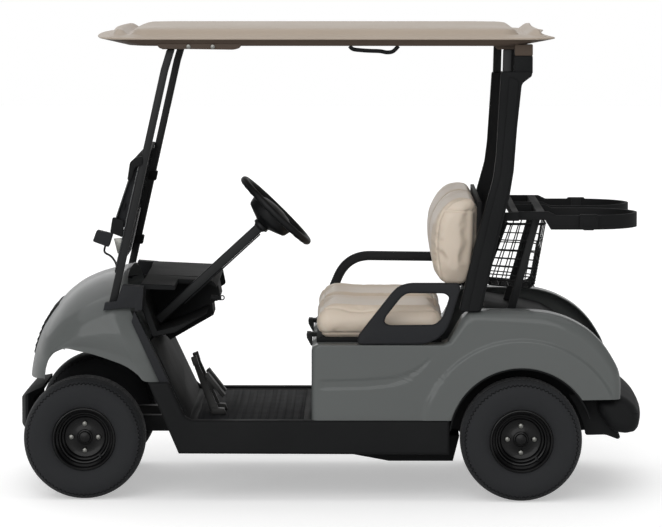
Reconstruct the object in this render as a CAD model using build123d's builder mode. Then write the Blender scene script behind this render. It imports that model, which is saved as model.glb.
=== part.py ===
from build123d import *
from math import cos, hypot, radians, sin, sqrt
import os

# Two-seat electric golf cart with a fixed sun roof, a fold-down windscreen (folded), a wire basket and a
# two-bag rack. Millimetres. +X points forward, +Y to the driver's side (left), +Z up. The origin lies on the
# ground, midway between the foremost and the rearmost point.

os.makedirs("parts", exist_ok=True)

# ---------------------------------------------------------------- driving dimensions
wheelbase = 1640
front_overhang = 270
rear_overhang = 470
front_track = 870
rear_track = 980
tyre_diameter = 457
tyre_width = 210
rim_width = 178
bead_radius = 101.5
rim_gauge = 4
body_width = 1140
floor_z = 297
rail_bottom_z = 215
rail_height = 60
rail_width = 50
seat_deck_z = 590
rear_deck_z = 668
roof_rim_z = 1731
roof_rise = 44
roof_length = 1730
roof_width = 1176
panel_wall = 5
steer_limit = 30
fit = 0.3

front_x = (wheelbase + rear_overhang - front_overhang) / 2
rear_x = front_x - wheelbase
nose_x = front_x + front_overhang
tail_x = rear_x - rear_overhang
axle_z = tyre_diameter / 2
body_y = body_width / 2
rail_top_z = rail_bottom_z + rail_height
rail_y = 150

made = []


def keep(part, label):
    """Labels a finished piece and remembers it for export."""
    part.label = label
    made.append(part)
    return part


def side_plane(y):
    """A plane seen from the left: local x is +X, local y is +Z, and extruding goes towards -Y."""
    return Plane(origin=(0, y, 0), x_dir=(1, 0, 0), z_dir=(0, -1, 0))


def side_plate(points, y_low, y_high):
    """A plate between two Y values, with a side outline of straight lines."""
    with BuildPart() as plate:
        with BuildSketch(side_plane(y_high)):
            with BuildLine():
                Polyline(*points, close=True)
            make_face()
        extrude(amount=y_high - y_low)
    return plate.part


def soft_plate(points, y_low, y_high, corner, edge, above=0):
    """A side plate with rounded corners and rounded long edges, as a moulding has, from a height up."""
    with BuildPart() as plate:
        with BuildSketch(side_plane(y_high)):
            with BuildLine():
                Polyline(*points, close=True)
            make_face()
            fillet(vertices().filter_by(lambda v: v.Y > above), corner)
        extrude(amount=y_high - y_low)
        fillet(faces().filter_by(Axis.Y).edges().filter_by(lambda e: e.center().Z > above), edge)
    return plate.part


def block(x_low, x_high, y_low, y_high, z_low, z_high):
    """A plain box between corners."""
    with BuildPart() as body:
        with Locations(((x_low + x_high) / 2, (y_low + y_high) / 2, (z_low + z_high) / 2)):
            Box(x_high - x_low, y_high - y_low, z_high - z_low)
    return body.part


def rod(start, end, radius):
    """A round bar between two points."""
    a, b = Vector(*start), Vector(*end)
    with BuildPart() as bar:
        with BuildSketch(Plane(origin=a, z_dir=(b - a).normalized())):
            Circle(radius)
        extrude(amount=(b - a).length)
    return bar.part


def mirrored(part):
    """The same piece on the other side of the cart."""
    return mirror(part, about=Plane.XZ)


def fused(*parts):
    """Joins pieces of one node, which touch, into one shape."""
    whole = parts[0]
    for other in parts[1:]:
        whole = whole + other
    return whole


# ---------------------------------------------------------------- wheels
disc_offset = 15
disc_gauge = 5
hub_radius = 40
hub_length = 34
spindle_radius = 12
running_gap = 0.06
bolt_circle = 101.6
flange_radius = bead_radius + 13
cap_radius = 22


def wheel_rim(x, y, outward):
    """A pressed steel rim with its disc, hub and cap. outward is +1 on the left and -1 on the right."""
    half = rim_width / 2
    inner = bead_radius - rim_gauge
    plane = Plane(origin=(x, y, axle_z), x_dir=(1, 0, 0), z_dir=(0, outward, 0))
    profile = Plane(origin=(x, y, axle_z), x_dir=(1, 0, 0), z_dir=(0, 0, outward))
    disc_in = disc_offset - disc_gauge
    with BuildPart() as rim:
        with BuildSketch(profile):
            with BuildLine():
                # radius, distance outward from the wheel's middle
                Polyline(
                    (spindle_radius + running_gap, disc_offset - hub_length),
                    (hub_radius, disc_offset - hub_length),
                    (hub_radius, disc_in),
                    (inner - 22, disc_in),
                    (inner - 8, disc_in + 14),
                    (inner, disc_in),
                    (inner, -half + 6),
                    (flange_radius - rim_gauge, -half + 6),
                    (flange_radius, -half),
                    (flange_radius + 1, -half + 6 + rim_gauge),
                    (bead_radius, -half + 6 + rim_gauge),
                    (bead_radius, half - 6 - rim_gauge),
                    (flange_radius + 1, half - 6 - rim_gauge),
                    (flange_radius, half),
                    (flange_radius - rim_gauge, half - 6),
                    (inner, half - 6),
                    (inner, disc_in + 34),
                    (inner - 14, disc_in + 24),
                    (inner - 26, disc_offset),
                    (cap_radius, disc_offset),
                    (cap_radius, disc_offset + 12),
                    (cap_radius - 6, disc_offset + 20),
                    (0, disc_offset + 22),
                    (0, disc_offset + 8),
                    (spindle_radius + running_gap, disc_offset + 8),
                    close=True,
                )
            make_face()
        revolve(axis=Axis((x, y, axle_z), (0, 1, 0)))
        with BuildSketch(plane.offset(disc_offset)):
            with PolarLocations(bolt_circle / 2, 4, start_angle=90):
                RegularPolygon(11, 6)
        extrude(amount=11)
    return rim.part


def tyre(x, y, outward):
    """A low-pressure tyre on its rim: beads, bulged walls, sloped shoulders and a flat tread."""
    top = tyre_diameter / 2
    bead_half = rim_width / 2 - 6 - rim_gauge - fit
    # radius, distance from the tyre's middle plane
    half_section = [
        (bead_radius + fit, bead_half),
        (flange_radius + 6, bead_half),
        ((flange_radius + top) / 2 - 4, tyre_width / 2),
        (top - 24, tyre_width / 2 - 8),
        (top, tyre_width / 2 - 40),
    ]
    inner_half = [(radius, -side) for radius, side in reversed(half_section)]
    profile = Plane(origin=(x, y, axle_z), x_dir=(1, 0, 0), z_dir=(0, 0, outward))
    with BuildPart() as carcass:
        with BuildSketch(profile):
            with BuildLine():
                Polyline(*half_section, *inner_half, close=True)
            make_face()
        revolve(axis=Axis((x, y, axle_z), (0, 1, 0)))
    return carcass.part


wheel_sites = [
    # name, x, y of the wheel's middle, outward
    ("front_left", front_x, front_track / 2, 1),
    ("front_right", front_x, -front_track / 2, -1),
    ("rear_left", rear_x, rear_track / 2, 1),
    ("rear_right", rear_x, -rear_track / 2, -1),
]
for name, x, y, outward in wheel_sites:
    keep(wheel_rim(x, y, outward), "rim_" + name)
    keep(tyre(x, y, outward), "tyre_" + name)

# ---------------------------------------------------------------- steering knuckles and tie rod
kingpin_y = front_track / 2 - 45
kingpin_radius = 9
boss_radius = 17
lower_eye_z = axle_z - 66
upper_eye_z = axle_z + 66
eye_height = 20
eye_radius = 19
arm_back = 94
arm_in = 98
arm_z = axle_z - 46
tie_rod_z = arm_z - 17
tie_rod_radius = 8


def knuckle():
    """The left knuckle: kingpin, boss, wheel spindle and the steering arm that reaches back and inward."""
    pin_low = lower_eye_z - eye_height / 2
    pin_high = upper_eye_z + eye_height / 2
    boss_low = lower_eye_z + eye_height / 2 + fit
    boss_high = upper_eye_z - eye_height / 2 - fit
    tip = (front_x - arm_back, kingpin_y - arm_in)
    with BuildPart() as body:
        with BuildSketch(Plane.XY.offset(pin_low)):
            with Locations((front_x, kingpin_y)):
                Circle(kingpin_radius)
        extrude(amount=pin_high - pin_low)
        with BuildSketch(Plane.XY.offset(boss_low)):
            with Locations((front_x, kingpin_y)):
                Circle(boss_radius)
        extrude(amount=boss_high - boss_low)
        spindle_end = front_track / 2 + disc_offset + 6
        with BuildSketch(Plane(origin=(front_x, kingpin_y, axle_z), x_dir=(1, 0, 0), z_dir=(0, 1, 0))):
            Circle(spindle_radius)
        extrude(amount=spindle_end - kingpin_y)
        with BuildSketch(Plane.XY.offset(arm_z - 7)):
            with BuildLine():
                Polyline(
                    (front_x - 4, kingpin_y + 12),
                    (front_x - 60, kingpin_y - 28),
                    (tip[0] - 11, tip[1] + 4),
                    (tip[0] + 6, tip[1] - 12),
                    (front_x + 4, kingpin_y - 14),
                    close=True,
                )
            make_face()
        extrude(amount=14)
        with BuildSketch(Plane.XY.offset(arm_z - 7)):
            with Locations(tip):
                Circle(14)
        extrude(amount=14)
    return body.part


knuckle_left = keep(knuckle(), "knuckle_left")
keep(mirrored(knuckle_left), "knuckle_right")

tie_x = front_x - arm_back
tie_y = kingpin_y - arm_in
with BuildPart() as tie_rod:
    with BuildSketch(Plane(origin=(tie_x, -tie_y, tie_rod_z), x_dir=(1, 0, 0), z_dir=(0, 1, 0))):
        Circle(tie_rod_radius)
    extrude(amount=2 * tie_y)
    with BuildSketch(Plane.XY.offset(arm_z - 7 - 1.5)):
        with Locations((tie_x, tie_y), (tie_x, -tie_y)):
            Circle(13)
    extrude(amount=-20)
keep(tie_rod.part, "tie_rod")

# ---------------------------------------------------------------- chassis frame
bumper_inner_x = nose_x - 62
rail_front_x = bumper_inner_x
kick_x = rear_x + 190
kick_rise = 105
bumper_depth = 100
rail_rear_x = tail_x + bumper_depth + fit
floor_front_x = front_x - 394
riser_x = rear_x + 785


def rail_outline():
    """Side outline of a rail: straight under the floor, kicked up over the rear axle."""
    top, low = rail_top_z, rail_bottom_z
    return [
        (rail_front_x, low),
        (rail_front_x, top),
        (kick_x, top),
        (kick_x - 110, top + kick_rise),
        (rail_rear_x, top + kick_rise),
        (rail_rear_x, low + kick_rise),
        (kick_x - 90, low + kick_rise),
        (kick_x + 20, low),
    ]


rail_left = side_plate(rail_outline(), rail_y - rail_width / 2, rail_y + rail_width / 2)
cross_half = rail_y - rail_width / 2
cross_sites = [front_x + 80, floor_front_x - 10, riser_x - 40, rear_x + 260]
frame_pieces = [rail_left, mirrored(rail_left)]
for x in cross_sites:
    frame_pieces.append(block(x - 20, x + 20, -cross_half, cross_half, rail_bottom_z + 8, rail_top_z))
frame_pieces.append(
    block(
        rail_rear_x, rail_rear_x + 40, -cross_half, cross_half,
        rail_bottom_z + kick_rise + 5, rail_top_z + kick_rise,
    )
)
outrigger_y = body_y - 50
for x in (floor_front_x - 60, (floor_front_x + riser_x) / 2, riser_x - 60, rear_x + 330):
    arm = block(x - 18, x + 18, rail_y + rail_width / 2, outrigger_y - fit, rail_top_z - 32, rail_top_z)
    frame_pieces += [arm, mirrored(arm)]
keep(fused(*frame_pieces), "chassis_frame")

# Skid pan under the battery bay, open at the top, hung below the rails.
pan_outline = [
    (riser_x - 20, rail_bottom_z),
    (riser_x - 32, rail_bottom_z - 50),
    (riser_x - 292, rail_bottom_z - 98),
    (rear_x + 250, rail_bottom_z - 98),
    (rear_x + 225, rail_bottom_z),
]
with BuildPart() as skid_pan:
    with BuildSketch(side_plane(300)):
        with BuildLine():
            Polyline(*pan_outline, close=True)
        make_face()
    extrude(amount=600)
    with BuildSketch(side_plane(300 - 4)):
        with BuildLine():
            Polyline(*pan_outline, close=True)
        make_face()
        offset(amount=-4, kind=Kind.INTERSECTION)
    extrude(amount=600 - 8, mode=Mode.SUBTRACT)
    with Locations(((riser_x + rear_x) / 2 + 110, 0, rail_bottom_z)):
        Box(430, 570, 30, mode=Mode.SUBTRACT)
keep(skid_pan.part, "skid_pan")

battery_front_x = riser_x - 45
battery_rear_x = riser_x - 475
keep(
    block(battery_rear_x, battery_front_x, -390, 390, rail_top_z, seat_deck_z - 55),
    "battery_pack",
)

# ---------------------------------------------------------------- floor
boot_top_z = floor_z + 151
toe_slope = 0.455
toe_top_z = 600
toe_rise = toe_top_z - floor_z
toe_top_x = floor_front_x + toe_slope * toe_rise
inner_y = body_y - 50
floor_outline = [
    (riser_x, rail_top_z),
    (riser_x, floor_z),
    (floor_front_x, floor_z),
    (toe_top_x, toe_top_z),
    (toe_top_x + 10, toe_top_z - 4),
    (floor_front_x + 14, rail_top_z),
]
with BuildPart() as floor_pan:
    with BuildSketch(side_plane(inner_y)):
        with BuildLine():
            Polyline(*floor_outline, close=True)
        make_face()
    extrude(amount=2 * inner_y)
    # shallow well between the raised edges, filled by the mat
    with Locations(((riser_x + floor_front_x) / 2, 0, floor_z)):
        Box(floor_front_x - riser_x - 60, 2 * inner_y - 50, 8, mode=Mode.SUBTRACT)
toe_half = body_y - 74 - fit
toe_trim = block(floor_front_x, toe_top_x + 30, toe_half, inner_y + 1, boot_top_z - 1, toe_top_z + 10)
keep(floor_pan.part - toe_trim - mirrored(toe_trim), "floor_pan")

rib_count = 13
with BuildPart() as mat:
    mat_length = floor_front_x - riser_x - 64
    mat_width = 2 * inner_y - 54
    with Locations(((riser_x + floor_front_x) / 2, 0, floor_z - 4 + 1.5)):
        Box(mat_length, mat_width, 3)
    with Locations(((riser_x + floor_front_x) / 2, 0, floor_z - 4 + 3 + 1)):
        with GridLocations(mat_length / rib_count, 0, rib_count, 1):
            Box(12, mat_width - 40, 2)
keep(mat.part, "floor_mat")

# Rocker panels below the doorless sides, with the boot that rises behind the front wheel.
arch_rear_radius = 273
rocker_bottom_z = 180
rocker_y = body_y + 4
skirt_y = 562
rocker_end_x = rear_x + arch_rear_radius - 4
rocker_outline = [
    (rocker_end_x, rocker_bottom_z - 3),
    (rocker_end_x, floor_z + 8),
    (floor_front_x + 6, floor_z + 8),
    (front_x - 321, boot_top_z),
    (front_x - 243, boot_top_z),
    (front_x - 358, rocker_bottom_z),
]


def rocker():
    with BuildPart() as panel:
        with BuildSketch(side_plane(rocker_y)):
            with BuildLine():
                Polyline(*rocker_outline, close=True)
            make_face()
            inner_corner = vertices().sort_by_distance((floor_front_x + 6, floor_z + 8))[0]
            fillet(inner_corner, 45)
        extrude(amount=rocker_y - inner_y)
        outer = faces().filter_by(Axis.Y).sort_by(Axis.Y)[-1]
        fillet(outer.edges(), 14)
    return panel.part


rocker_left = rocker()
keep(fused(rocker_left, mirrored(rocker_left)), "rocker_panels")

# ---------------------------------------------------------------- front cowl
# The hood and nose are a fan of sections about a line across the cart, from the nose round to the dash.
fan_x = front_x - 120
fan_z = 420
hood_reach = [
    # angle, crown reach, crown half-width, reach there, flank half-width, reach at the flank's top
    (104, 432, 505, 352, 562, 304),
    (80, 398, 505, 318, 570, 276),
    (60, 383, 497, 312, 572, 262),
    (40, 362, 482, 310, 568, 250),
    (20, 347, 464, 316, 556, 244),
    (-6, 342, 446, 314, 538, 244),
]
fan_core = 130


def fan_plane(angle):
    """Plane of one hood section: local x is +Y, local y points away from the fan's line."""
    a = radians(angle)
    return Plane(origin=(fan_x, 0, fan_z), x_dir=(0, 1, 0), z_dir=(sin(a), 0, -cos(a)))


def hood_solid(inset, core, overrun):
    """Solid of the hood, taken in by inset on every side. overrun turns the end sections outward."""
    with BuildPart() as hood:
        last = len(hood_reach) - 1
        for row, (angle, crown, half, reach, flank, flank_reach) in enumerate(hood_reach):
            turn = overrun if row == 0 else -overrun if row == last else 0
            c, h, r = crown - inset, half - inset, reach - inset
            f, fr = flank - inset, flank_reach - inset
            with BuildSketch(fan_plane(angle + turn)):
                with BuildLine():
                    Line((-f, core), (-f, fr))
                    ThreePointArc((-f, fr), (-(0.3 * h + 0.7 * f), 0.62 * r + 0.38 * fr + 6), (-h, r))
                    ThreePointArc((-h, r), (0, c), (h, r))
                    ThreePointArc((h, r), (0.3 * h + 0.7 * f, 0.62 * r + 0.38 * fr + 6), (f, fr))
                    Line((f, fr), (f, core))
                    Line((f, core), (-f, core))
                make_face()
        loft()
    return hood.part


def arch_cut_front():
    """Space of the front wheel arch, across the whole cart: higher ahead of the axle than behind it."""
    cx, cz = front_x, axle_z
    with BuildPart() as arch:
        with BuildSketch(side_plane(700)):
            with BuildLine():
                ThreePointArc((cx + 205, cz + 225), (cx + 140, cz + 310), (cx + 62, cz + 345))
                ThreePointArc((cx + 62, cz + 345), (cx - 150, cz + 287), (cx - 287, cz + 122))
                Polyline(
                    (cx - 287, cz + 122), (cx - 330, cz - 60), (cx + 330, cz - 60),
                    (cx + 330, cz + 110), (cx + 205, cz + 225),
                )
            make_face()
        extrude(amount=1400)
    return arch.part


skirt_outline = [
    (fan_x + 40, fan_z + 285),
    (front_x - 165, fan_z + 293),
    (front_x - 284, boot_top_z + fit),
    (front_x - 230, boot_top_z + fit),
    (fan_x + 60, boot_top_z + fit),
]
foot_outline = [
    (front_x - 71, fan_z + 268),
    (front_x - 75, fan_z + 313),
    (front_x - 112, fan_z + 330),
    (front_x - 150, fan_z + 318),
    (front_x - 162, fan_z + 285),
]
strut_y = body_y - 48
cowl_outer = hood_solid(0, fan_core, 0)
cowl_inner = hood_solid(panel_wall, fan_core - 60, 3)
skirt_left = side_plate(skirt_outline, skirt_y - panel_wall, skirt_y)
foot_space_left = side_plate(foot_outline, strut_y - 24, strut_y + 44)
cowl = fused(cowl_outer - cowl_inner, skirt_left, mirrored(skirt_left))
cowl = cowl - arch_cut_front() - foot_space_left - mirrored(foot_space_left)

# Ribbed insert in the nose, in a window of the cowl.
grille_half = 168
grille_low_z = fan_z + 66
grille_high_z = fan_z + 262
grille_proud = 2
slot_height = 9
slot_pitch = 21


def nose_window(grow):
    """Rounded window through the nose, seen from the front, grown on every side."""
    height = grille_high_z - grille_low_z
    with BuildPart() as window:
        with BuildSketch(Plane(origin=(fan_x + 120, 0, (grille_low_z + grille_high_z) / 2), x_dir=(0, 1, 0), z_dir=(1, 0, 0))):
            RectangleRounded(2 * (grille_half + grow), height + 2 * grow, 34 + grow)
        extrude(amount=400)
    return window.part


grille = (hood_solid(-grille_proud, fan_core, 0) - cowl_inner) & nose_window(0)
slot_count = int((grille_high_z - grille_low_z - 44) / slot_pitch)
slot_middle_z = (grille_low_z + grille_high_z) / 2
with BuildPart() as grille_slots:
    with BuildSketch(Plane(origin=(fan_x + 120, 0, slot_middle_z), x_dir=(0, 1, 0), z_dir=(1, 0, 0))):
        with GridLocations(0, slot_pitch, 1, slot_count):
            SlotOverall(2 * grille_half - 52, slot_height)
    extrude(amount=400)
keep(grille - grille_slots.part, "nose_grille")
cowl = cowl - nose_window(fit)

# ---------------------------------------------------------------- side trims and struts
strut_size = 28
strut_foot = (front_x - 112, 742)
strut_lean = 0.2255
strut_bend_z = 1612
roof_seat_z = 1690


def bent_bar(points, radius, width, y_low, y_high):
    """A flat-sided bar that follows a bent line in the side view."""
    with BuildPart() as bar:
        with BuildSketch(side_plane(y_high)):
            with BuildLine() as path:
                FilletPolyline(*points, radius=radius)
            trace(line_width=width)
        extrude(amount=y_high - y_low)
    return bar.part


strut_bend_x = strut_foot[0] - strut_lean * (strut_bend_z - strut_foot[1])
strut_line = [
    strut_foot,
    (strut_bend_x, strut_bend_z),
    (strut_bend_x - 30, roof_seat_z + 20),
]
above_seat = block(-2000, 2000, -800, 800, roof_seat_z - fit, 2000)
strut_left = bent_bar(strut_line, 60, strut_size, strut_y - strut_size / 2, strut_y + strut_size / 2)
strut_left = strut_left - above_seat

# Charcoal side moulding: it holds the foot of the strut and runs down as a strip behind the fender.
trim_outline = [
    (front_x - 74, 697),
    (front_x - 84, 745),
    (front_x - 128, 752),
    (front_x - 150, 812),
    (front_x - 228, 806),
    (front_x - 222, 719),
    (front_x - 193, 716),
    (front_x - 321, boot_top_z + fit),
    (front_x - 286, boot_top_z + fit),
    (front_x - 170, 705),
]
trim_inner_y = strut_y - 26
trim_left = side_plate(trim_outline, trim_inner_y, skirt_y - 2)
socket_line = [(strut_foot[0] + 0.2255 * 60, strut_foot[1] - 60), (strut_bend_x, strut_bend_z)]
socket_half = strut_size / 2 + fit
with BuildPart() as socket:
    with BuildSketch(side_plane(strut_y + socket_half)):
        with BuildLine():
            Line(strut_foot, (strut_bend_x, strut_bend_z))
        trace(line_width=2 * socket_half)
    extrude(amount=2 * socket_half)
trim_left = trim_left - socket.part
trim_left = trim_left - side_plate(skirt_outline, skirt_y - panel_wall - fit, skirt_y + 1)
cowl_clear = hood_solid(-fit, fan_core, 0)
cowl = cowl - socket.part - mirrored(socket.part)
keep(cowl, "front_cowl")
trim_left = trim_left - cowl_clear
keep(fused(trim_left, mirrored(trim_left)), "side_trims")
keep(fused(strut_left, mirrored(strut_left)), "front_struts")

# ---------------------------------------------------------------- windscreen
screen_gauge = 5
screen_half = strut_y + 14
screen_low_z = 850
screen_fold_z = 1268
fold_gap = 12
fold_angle = 5.7
fold_length = 290
lean_length = sqrt(1 + strut_lean**2)
strut_up = Vector(-strut_lean / lean_length, 0, 1 / lean_length)
strut_out = Vector(1 / lean_length, 0, strut_lean / lean_length)


def strut_x(z):
    """Where the middle line of the front struts stands at a height."""
    return strut_foot[0] - strut_lean * (z - strut_foot[1])


# Side view along the struts: local x leads out ahead of them, local y up along them, from the fold.
fold_plane = Plane(origin=(strut_x(screen_fold_z), screen_half, screen_fold_z), x_dir=strut_out, z_dir=(0, -1, 0))
sheet_in = strut_size / 2 + fit
sheet_out = sheet_in + screen_gauge
fold_in = sheet_out + fold_gap
with BuildPart() as windscreen_lower:
    with BuildSketch(fold_plane):
        lower_length = (screen_fold_z - screen_low_z) * lean_length
        with BuildLine():
            Polyline(
                (sheet_in, 0), (sheet_out, 0), (sheet_out, -lower_length), (sheet_in, -lower_length), close=True
            )
        make_face()
    extrude(amount=2 * screen_half)
    fillet(edges().filter_by(Axis(fold_plane.origin, strut_out)).group_by(Axis.Z)[0], 40)
keep(windscreen_lower.part, "windscreen_lower")

with BuildPart() as windscreen_upper:
    with BuildSketch(fold_plane):
        out, down = fold_length * sin(radians(fold_angle)), fold_length * cos(radians(fold_angle))
        with BuildLine():
            Polyline(
                (fold_in, 0), (fold_in + screen_gauge, 0),
                (fold_in + screen_gauge + out, -down), (fold_in + out, -down), close=True,
            )
        make_face()
    extrude(amount=2 * screen_half)
keep(windscreen_upper.part, "windscreen_upper")

# Rubber strip along the fold: it caps the lower sheet and holds the upper one.
with BuildPart() as windscreen_hinge:
    with BuildSketch(fold_plane):
        with BuildLine():
            Polyline(
                (sheet_in, fit), (fold_in + screen_gauge + 4, fit), (fold_in + screen_gauge + 2, 9),
                (sheet_in + 8, 14), (sheet_in, 14), close=True,
            )
        make_face()
    extrude(amount=2 * screen_half)
keep(windscreen_hinge.part, "windscreen_hinge")

# ---------------------------------------------------------------- dashboard
dash_half = trim_inner_y - fit
dash_front_x = front_x - 209
dash_top_z = 812
dash_core_half = 110
dash_outline = [
    (dash_front_x, 745),
    (dash_front_x, dash_top_z),
    (dash_front_x - 232, dash_top_z - 8),
    (dash_front_x - 255, 733),
    (dash_front_x - 264, 656),
    (dash_front_x - 98, 560),
    (dash_front_x - 60, 600),
]
# The trays beside it are shallower and reach back a little further.
tray_outline = [
    (dash_front_x, 745),
    (dash_front_x, dash_top_z),
    (dash_front_x - 264, dash_top_z - 12),
    (dash_front_x - 280, dash_top_z - 30),
    (dash_front_x - 292, dash_top_z - 90),
    (dash_front_x - 134, 628),
    (dash_front_x - 48, 610),
]
cubby_outline = [
    (dash_front_x - 22, 750),
    (dash_front_x - 26, dash_top_z - 20),
    (dash_front_x - 256, dash_top_z - 27),
    (dash_front_x - 310, dash_top_z - 50),
    (dash_front_x - 310, dash_top_z - 90),
    (dash_front_x - 140, 652),
    (dash_front_x - 66, 632),
]
dashboard = fused(
    side_plate(dash_outline, -dash_core_half, dash_core_half),
    soft_plate(tray_outline, -dash_half, dash_half, 12, 5),
)
cubby_left = side_plate(cubby_outline, dash_core_half, dash_half + 1)
cubby_right = side_plate(cubby_outline, -dash_half + 14, -dash_core_half)
column_y = 270
wheel_centre = Vector(203, column_y, 1071)
column_foot = Vector(front_x - 288, column_y, 633)
column_way = (wheel_centre - column_foot).normalized()
column_radius = 19
dashboard = dashboard - cubby_left - cubby_right - cowl_clear

# ---------------------------------------------------------------- steering column and wheel
hub_back = 66
hub_clearance = 5
shaft_radius = 10
shaft_length = 50
column_top = wheel_centre - column_way * (hub_back + hub_clearance)
column_bottom = column_foot - column_way * 24
dashboard = dashboard - rod(column_bottom - column_way * fit, column_top, column_radius + fit)
keep(dashboard, "dashboard")
with BuildPart() as column:
    with BuildSketch(Plane(origin=column_bottom, z_dir=column_way)):
        Circle(column_radius)
    extrude(amount=(column_top - column_bottom).length)
    with BuildSketch(Plane(origin=column_top, z_dir=column_way)):
        Circle(30)
    extrude(amount=-46, taper=12)
    with BuildSketch(Plane(origin=column_top, z_dir=column_way)):
        Circle(shaft_radius + running_gap)
    extrude(amount=-shaft_length - 2, mode=Mode.SUBTRACT)
keep(column.part, "steering_column")

wheel_radius = 163
wheel_grip = 12
wheel_dish = 24
wheel_plane = Plane(origin=wheel_centre, z_dir=column_way)
with BuildPart() as steering_wheel:
    with BuildSketch(Plane(origin=wheel_centre, x_dir=wheel_plane.x_dir, z_dir=wheel_plane.y_dir)):
        with Locations((wheel_radius, 0)):
            Circle(wheel_grip)
    revolve(axis=Axis(wheel_centre, column_way))
    with BuildSketch(wheel_plane.offset(-hub_back)):
        Circle(28)
    extrude(amount=hub_back - wheel_dish + 4)
    with BuildSketch(wheel_plane.offset(-hub_back)):
        Circle(shaft_radius)
    extrude(amount=-hub_clearance - shaft_length)
    for turn in (90, 210, 330):
        spoke_way = wheel_plane.x_dir.rotate(Axis((0, 0, 0), column_way), turn)
        with BuildSketch(Plane(origin=wheel_centre, x_dir=spoke_way, z_dir=spoke_way.cross(column_way))):
            with BuildLine():
                Polyline(
                    (15, -42), (62, -36), (wheel_radius - 4, -8), (wheel_radius - 2, 3), (62, -24), (15, -28),
                    close=True,
                )
            make_face()
        extrude(amount=14, both=True)
keep(steering_wheel.part, "steering_wheel")

# ---------------------------------------------------------------- pedals
pedal_sites = [(300, 62), (150, 50)]
mat_top_z = floor_z + 1
pedal_foot_z = mat_top_z + fit
pedal_set = []
for y, width in pedal_sites:
    # the arm leans on the floor, the pad stands off it on a short link
    arm = side_plate(
        [(front_x - 508, pedal_foot_z), (front_x - 470, pedal_foot_z), (front_x - 398, 505), (front_x - 412, 512)],
        y - 8, y + 8,
    )
    heel = side_plate(
        [(front_x - 528, pedal_foot_z), (front_x - 470, pedal_foot_z), (front_x - 478, 322), (front_x - 520, 318)],
        y - 22, y + 22,
    )
    pad = side_plate(
        [(front_x - 524, 372), (front_x - 514, 362), (front_x - 446, 446), (front_x - 458, 456)],
        y - width / 2, y + width / 2,
    )
    link = side_plate(
        [(front_x - 492, 398), (front_x - 462, 386), (front_x - 440, 420), (front_x - 470, 432)],
        y - 6, y + 6,
    )
    hook = side_plate(
        [(front_x - 424, 488), (front_x - 404, 482), (front_x - 394, 512), (front_x - 414, 520)],
        y - 16, y + 16,
    )
    pedal_set.append(fused(arm, heel, pad, link, hook))
keep(fused(*pedal_set), "pedals")

# ---------------------------------------------------------------- rear body
rear_arch_radius = 273
fender_top_z = 711
well_half = 432
apron_top_z = 435
body_low_z = 383
deck_front_x = rear_x + 128


def rear_outline_sketch():
    """Closed side outline of the painted rear body, without the wheel arch."""
    deck_corner = (rear_x + 280, seat_deck_z)
    fender_corner = (rear_x + 210, fender_top_z)
    fender_end = (rear_x - 60, fender_top_z)
    apron = (tail_x + 99, apron_top_z + 5)
    with BuildSketch() as outline:
        with BuildLine():
            Polyline(
                (rear_x - 262, body_low_z),
                (rear_x + 273, floor_z + 8 + fit),
                (riser_x, floor_z + 8 + fit),
                (riser_x, seat_deck_z),
                deck_corner,
                fender_corner,
                fender_end,
            )
            TangentArc(fender_end, apron, tangent=(-1, 0))
            Polyline(apron, (tail_x + 106, body_low_z), (rear_x - 262, body_low_z))
        make_face()
        fillet(vertices().sort_by_distance(deck_corner)[0], 25)
        fillet(vertices().sort_by_distance(fender_corner)[0], 60)
    return outline.sketch


def rear_solid(inset, crown):
    """Solid of the rear body, taken in by inset, with soft outer edges."""
    half = body_y - inset
    with BuildPart() as body:
        with BuildSketch(side_plane(half)):
            add(rear_outline_sketch())
            if inset:
                offset(amount=-inset, kind=Kind.INTERSECTION)
        extrude(amount=2 * half)
        crown_edges = [
            e for e in faces().filter_by(Axis.Y).edges()
            if e.center().Z > seat_deck_z + 5 or (e.center().X < rear_x - 60 and e.center().Z > apron_top_z)
        ]
        fillet(crown_edges, crown)
    return body.part


rear_shell = rear_solid(0, 40) - rear_solid(panel_wall, 40 - panel_wall)
with BuildPart() as rear_voids:
    # wheel arches, battery hatch, open floor and open deck
    with BuildSketch(side_plane(700)):
        with Locations((rear_x, axle_z)):
            Circle(rear_arch_radius)
    extrude(amount=1400)
    with Locations(((riser_x + rear_x + 280) / 2, 0, seat_deck_z)):
        Box(riser_x - rear_x - 330, 820, 40)
    with Locations(((riser_x - panel_wall - 8 + tail_x + 118) / 2, 0, 345)):
        Box(riser_x - panel_wall - 8 - tail_x - 118, 1040, 90)
    with Locations(((deck_front_x + fit + tail_x) / 2, 0, (apron_top_z + 800) / 2)):
        Box(deck_front_x + fit - tail_x, 2 * well_half, 800 - apron_top_z)
rear_body = rear_shell - rear_voids.part
keep(rear_body, "rear_body")

# ---------------------------------------------------------------- rear deck
deck_outline = [
    (deck_front_x, rear_deck_z + 34),
    (rear_x - 10, rear_deck_z + 10),
    (rear_x - 107, rear_deck_z - 13),
    (rear_x - 242, 578),
    (rear_x - 320, 509),
    (rear_x - 371, 452),
    (rear_x - 371, apron_top_z + fit),
    (rear_x - 346, apron_top_z + fit),
    (rear_x - 330, 470),
    (rear_x - 250, 548),
    (rear_x - 115, 628),
    (deck_front_x, rear_deck_z + 10),
]
deck_half = well_half - fit


def deck_z(x):
    """Height of the deck's front slope."""
    (x_1, z_1), (x_2, z_2) = deck_outline[:2]
    return z_1 + (z_2 - z_1) * (x - x_1) / (x_2 - x_1)


keep(side_plate(deck_outline, -deck_half, deck_half), "rear_deck")

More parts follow.
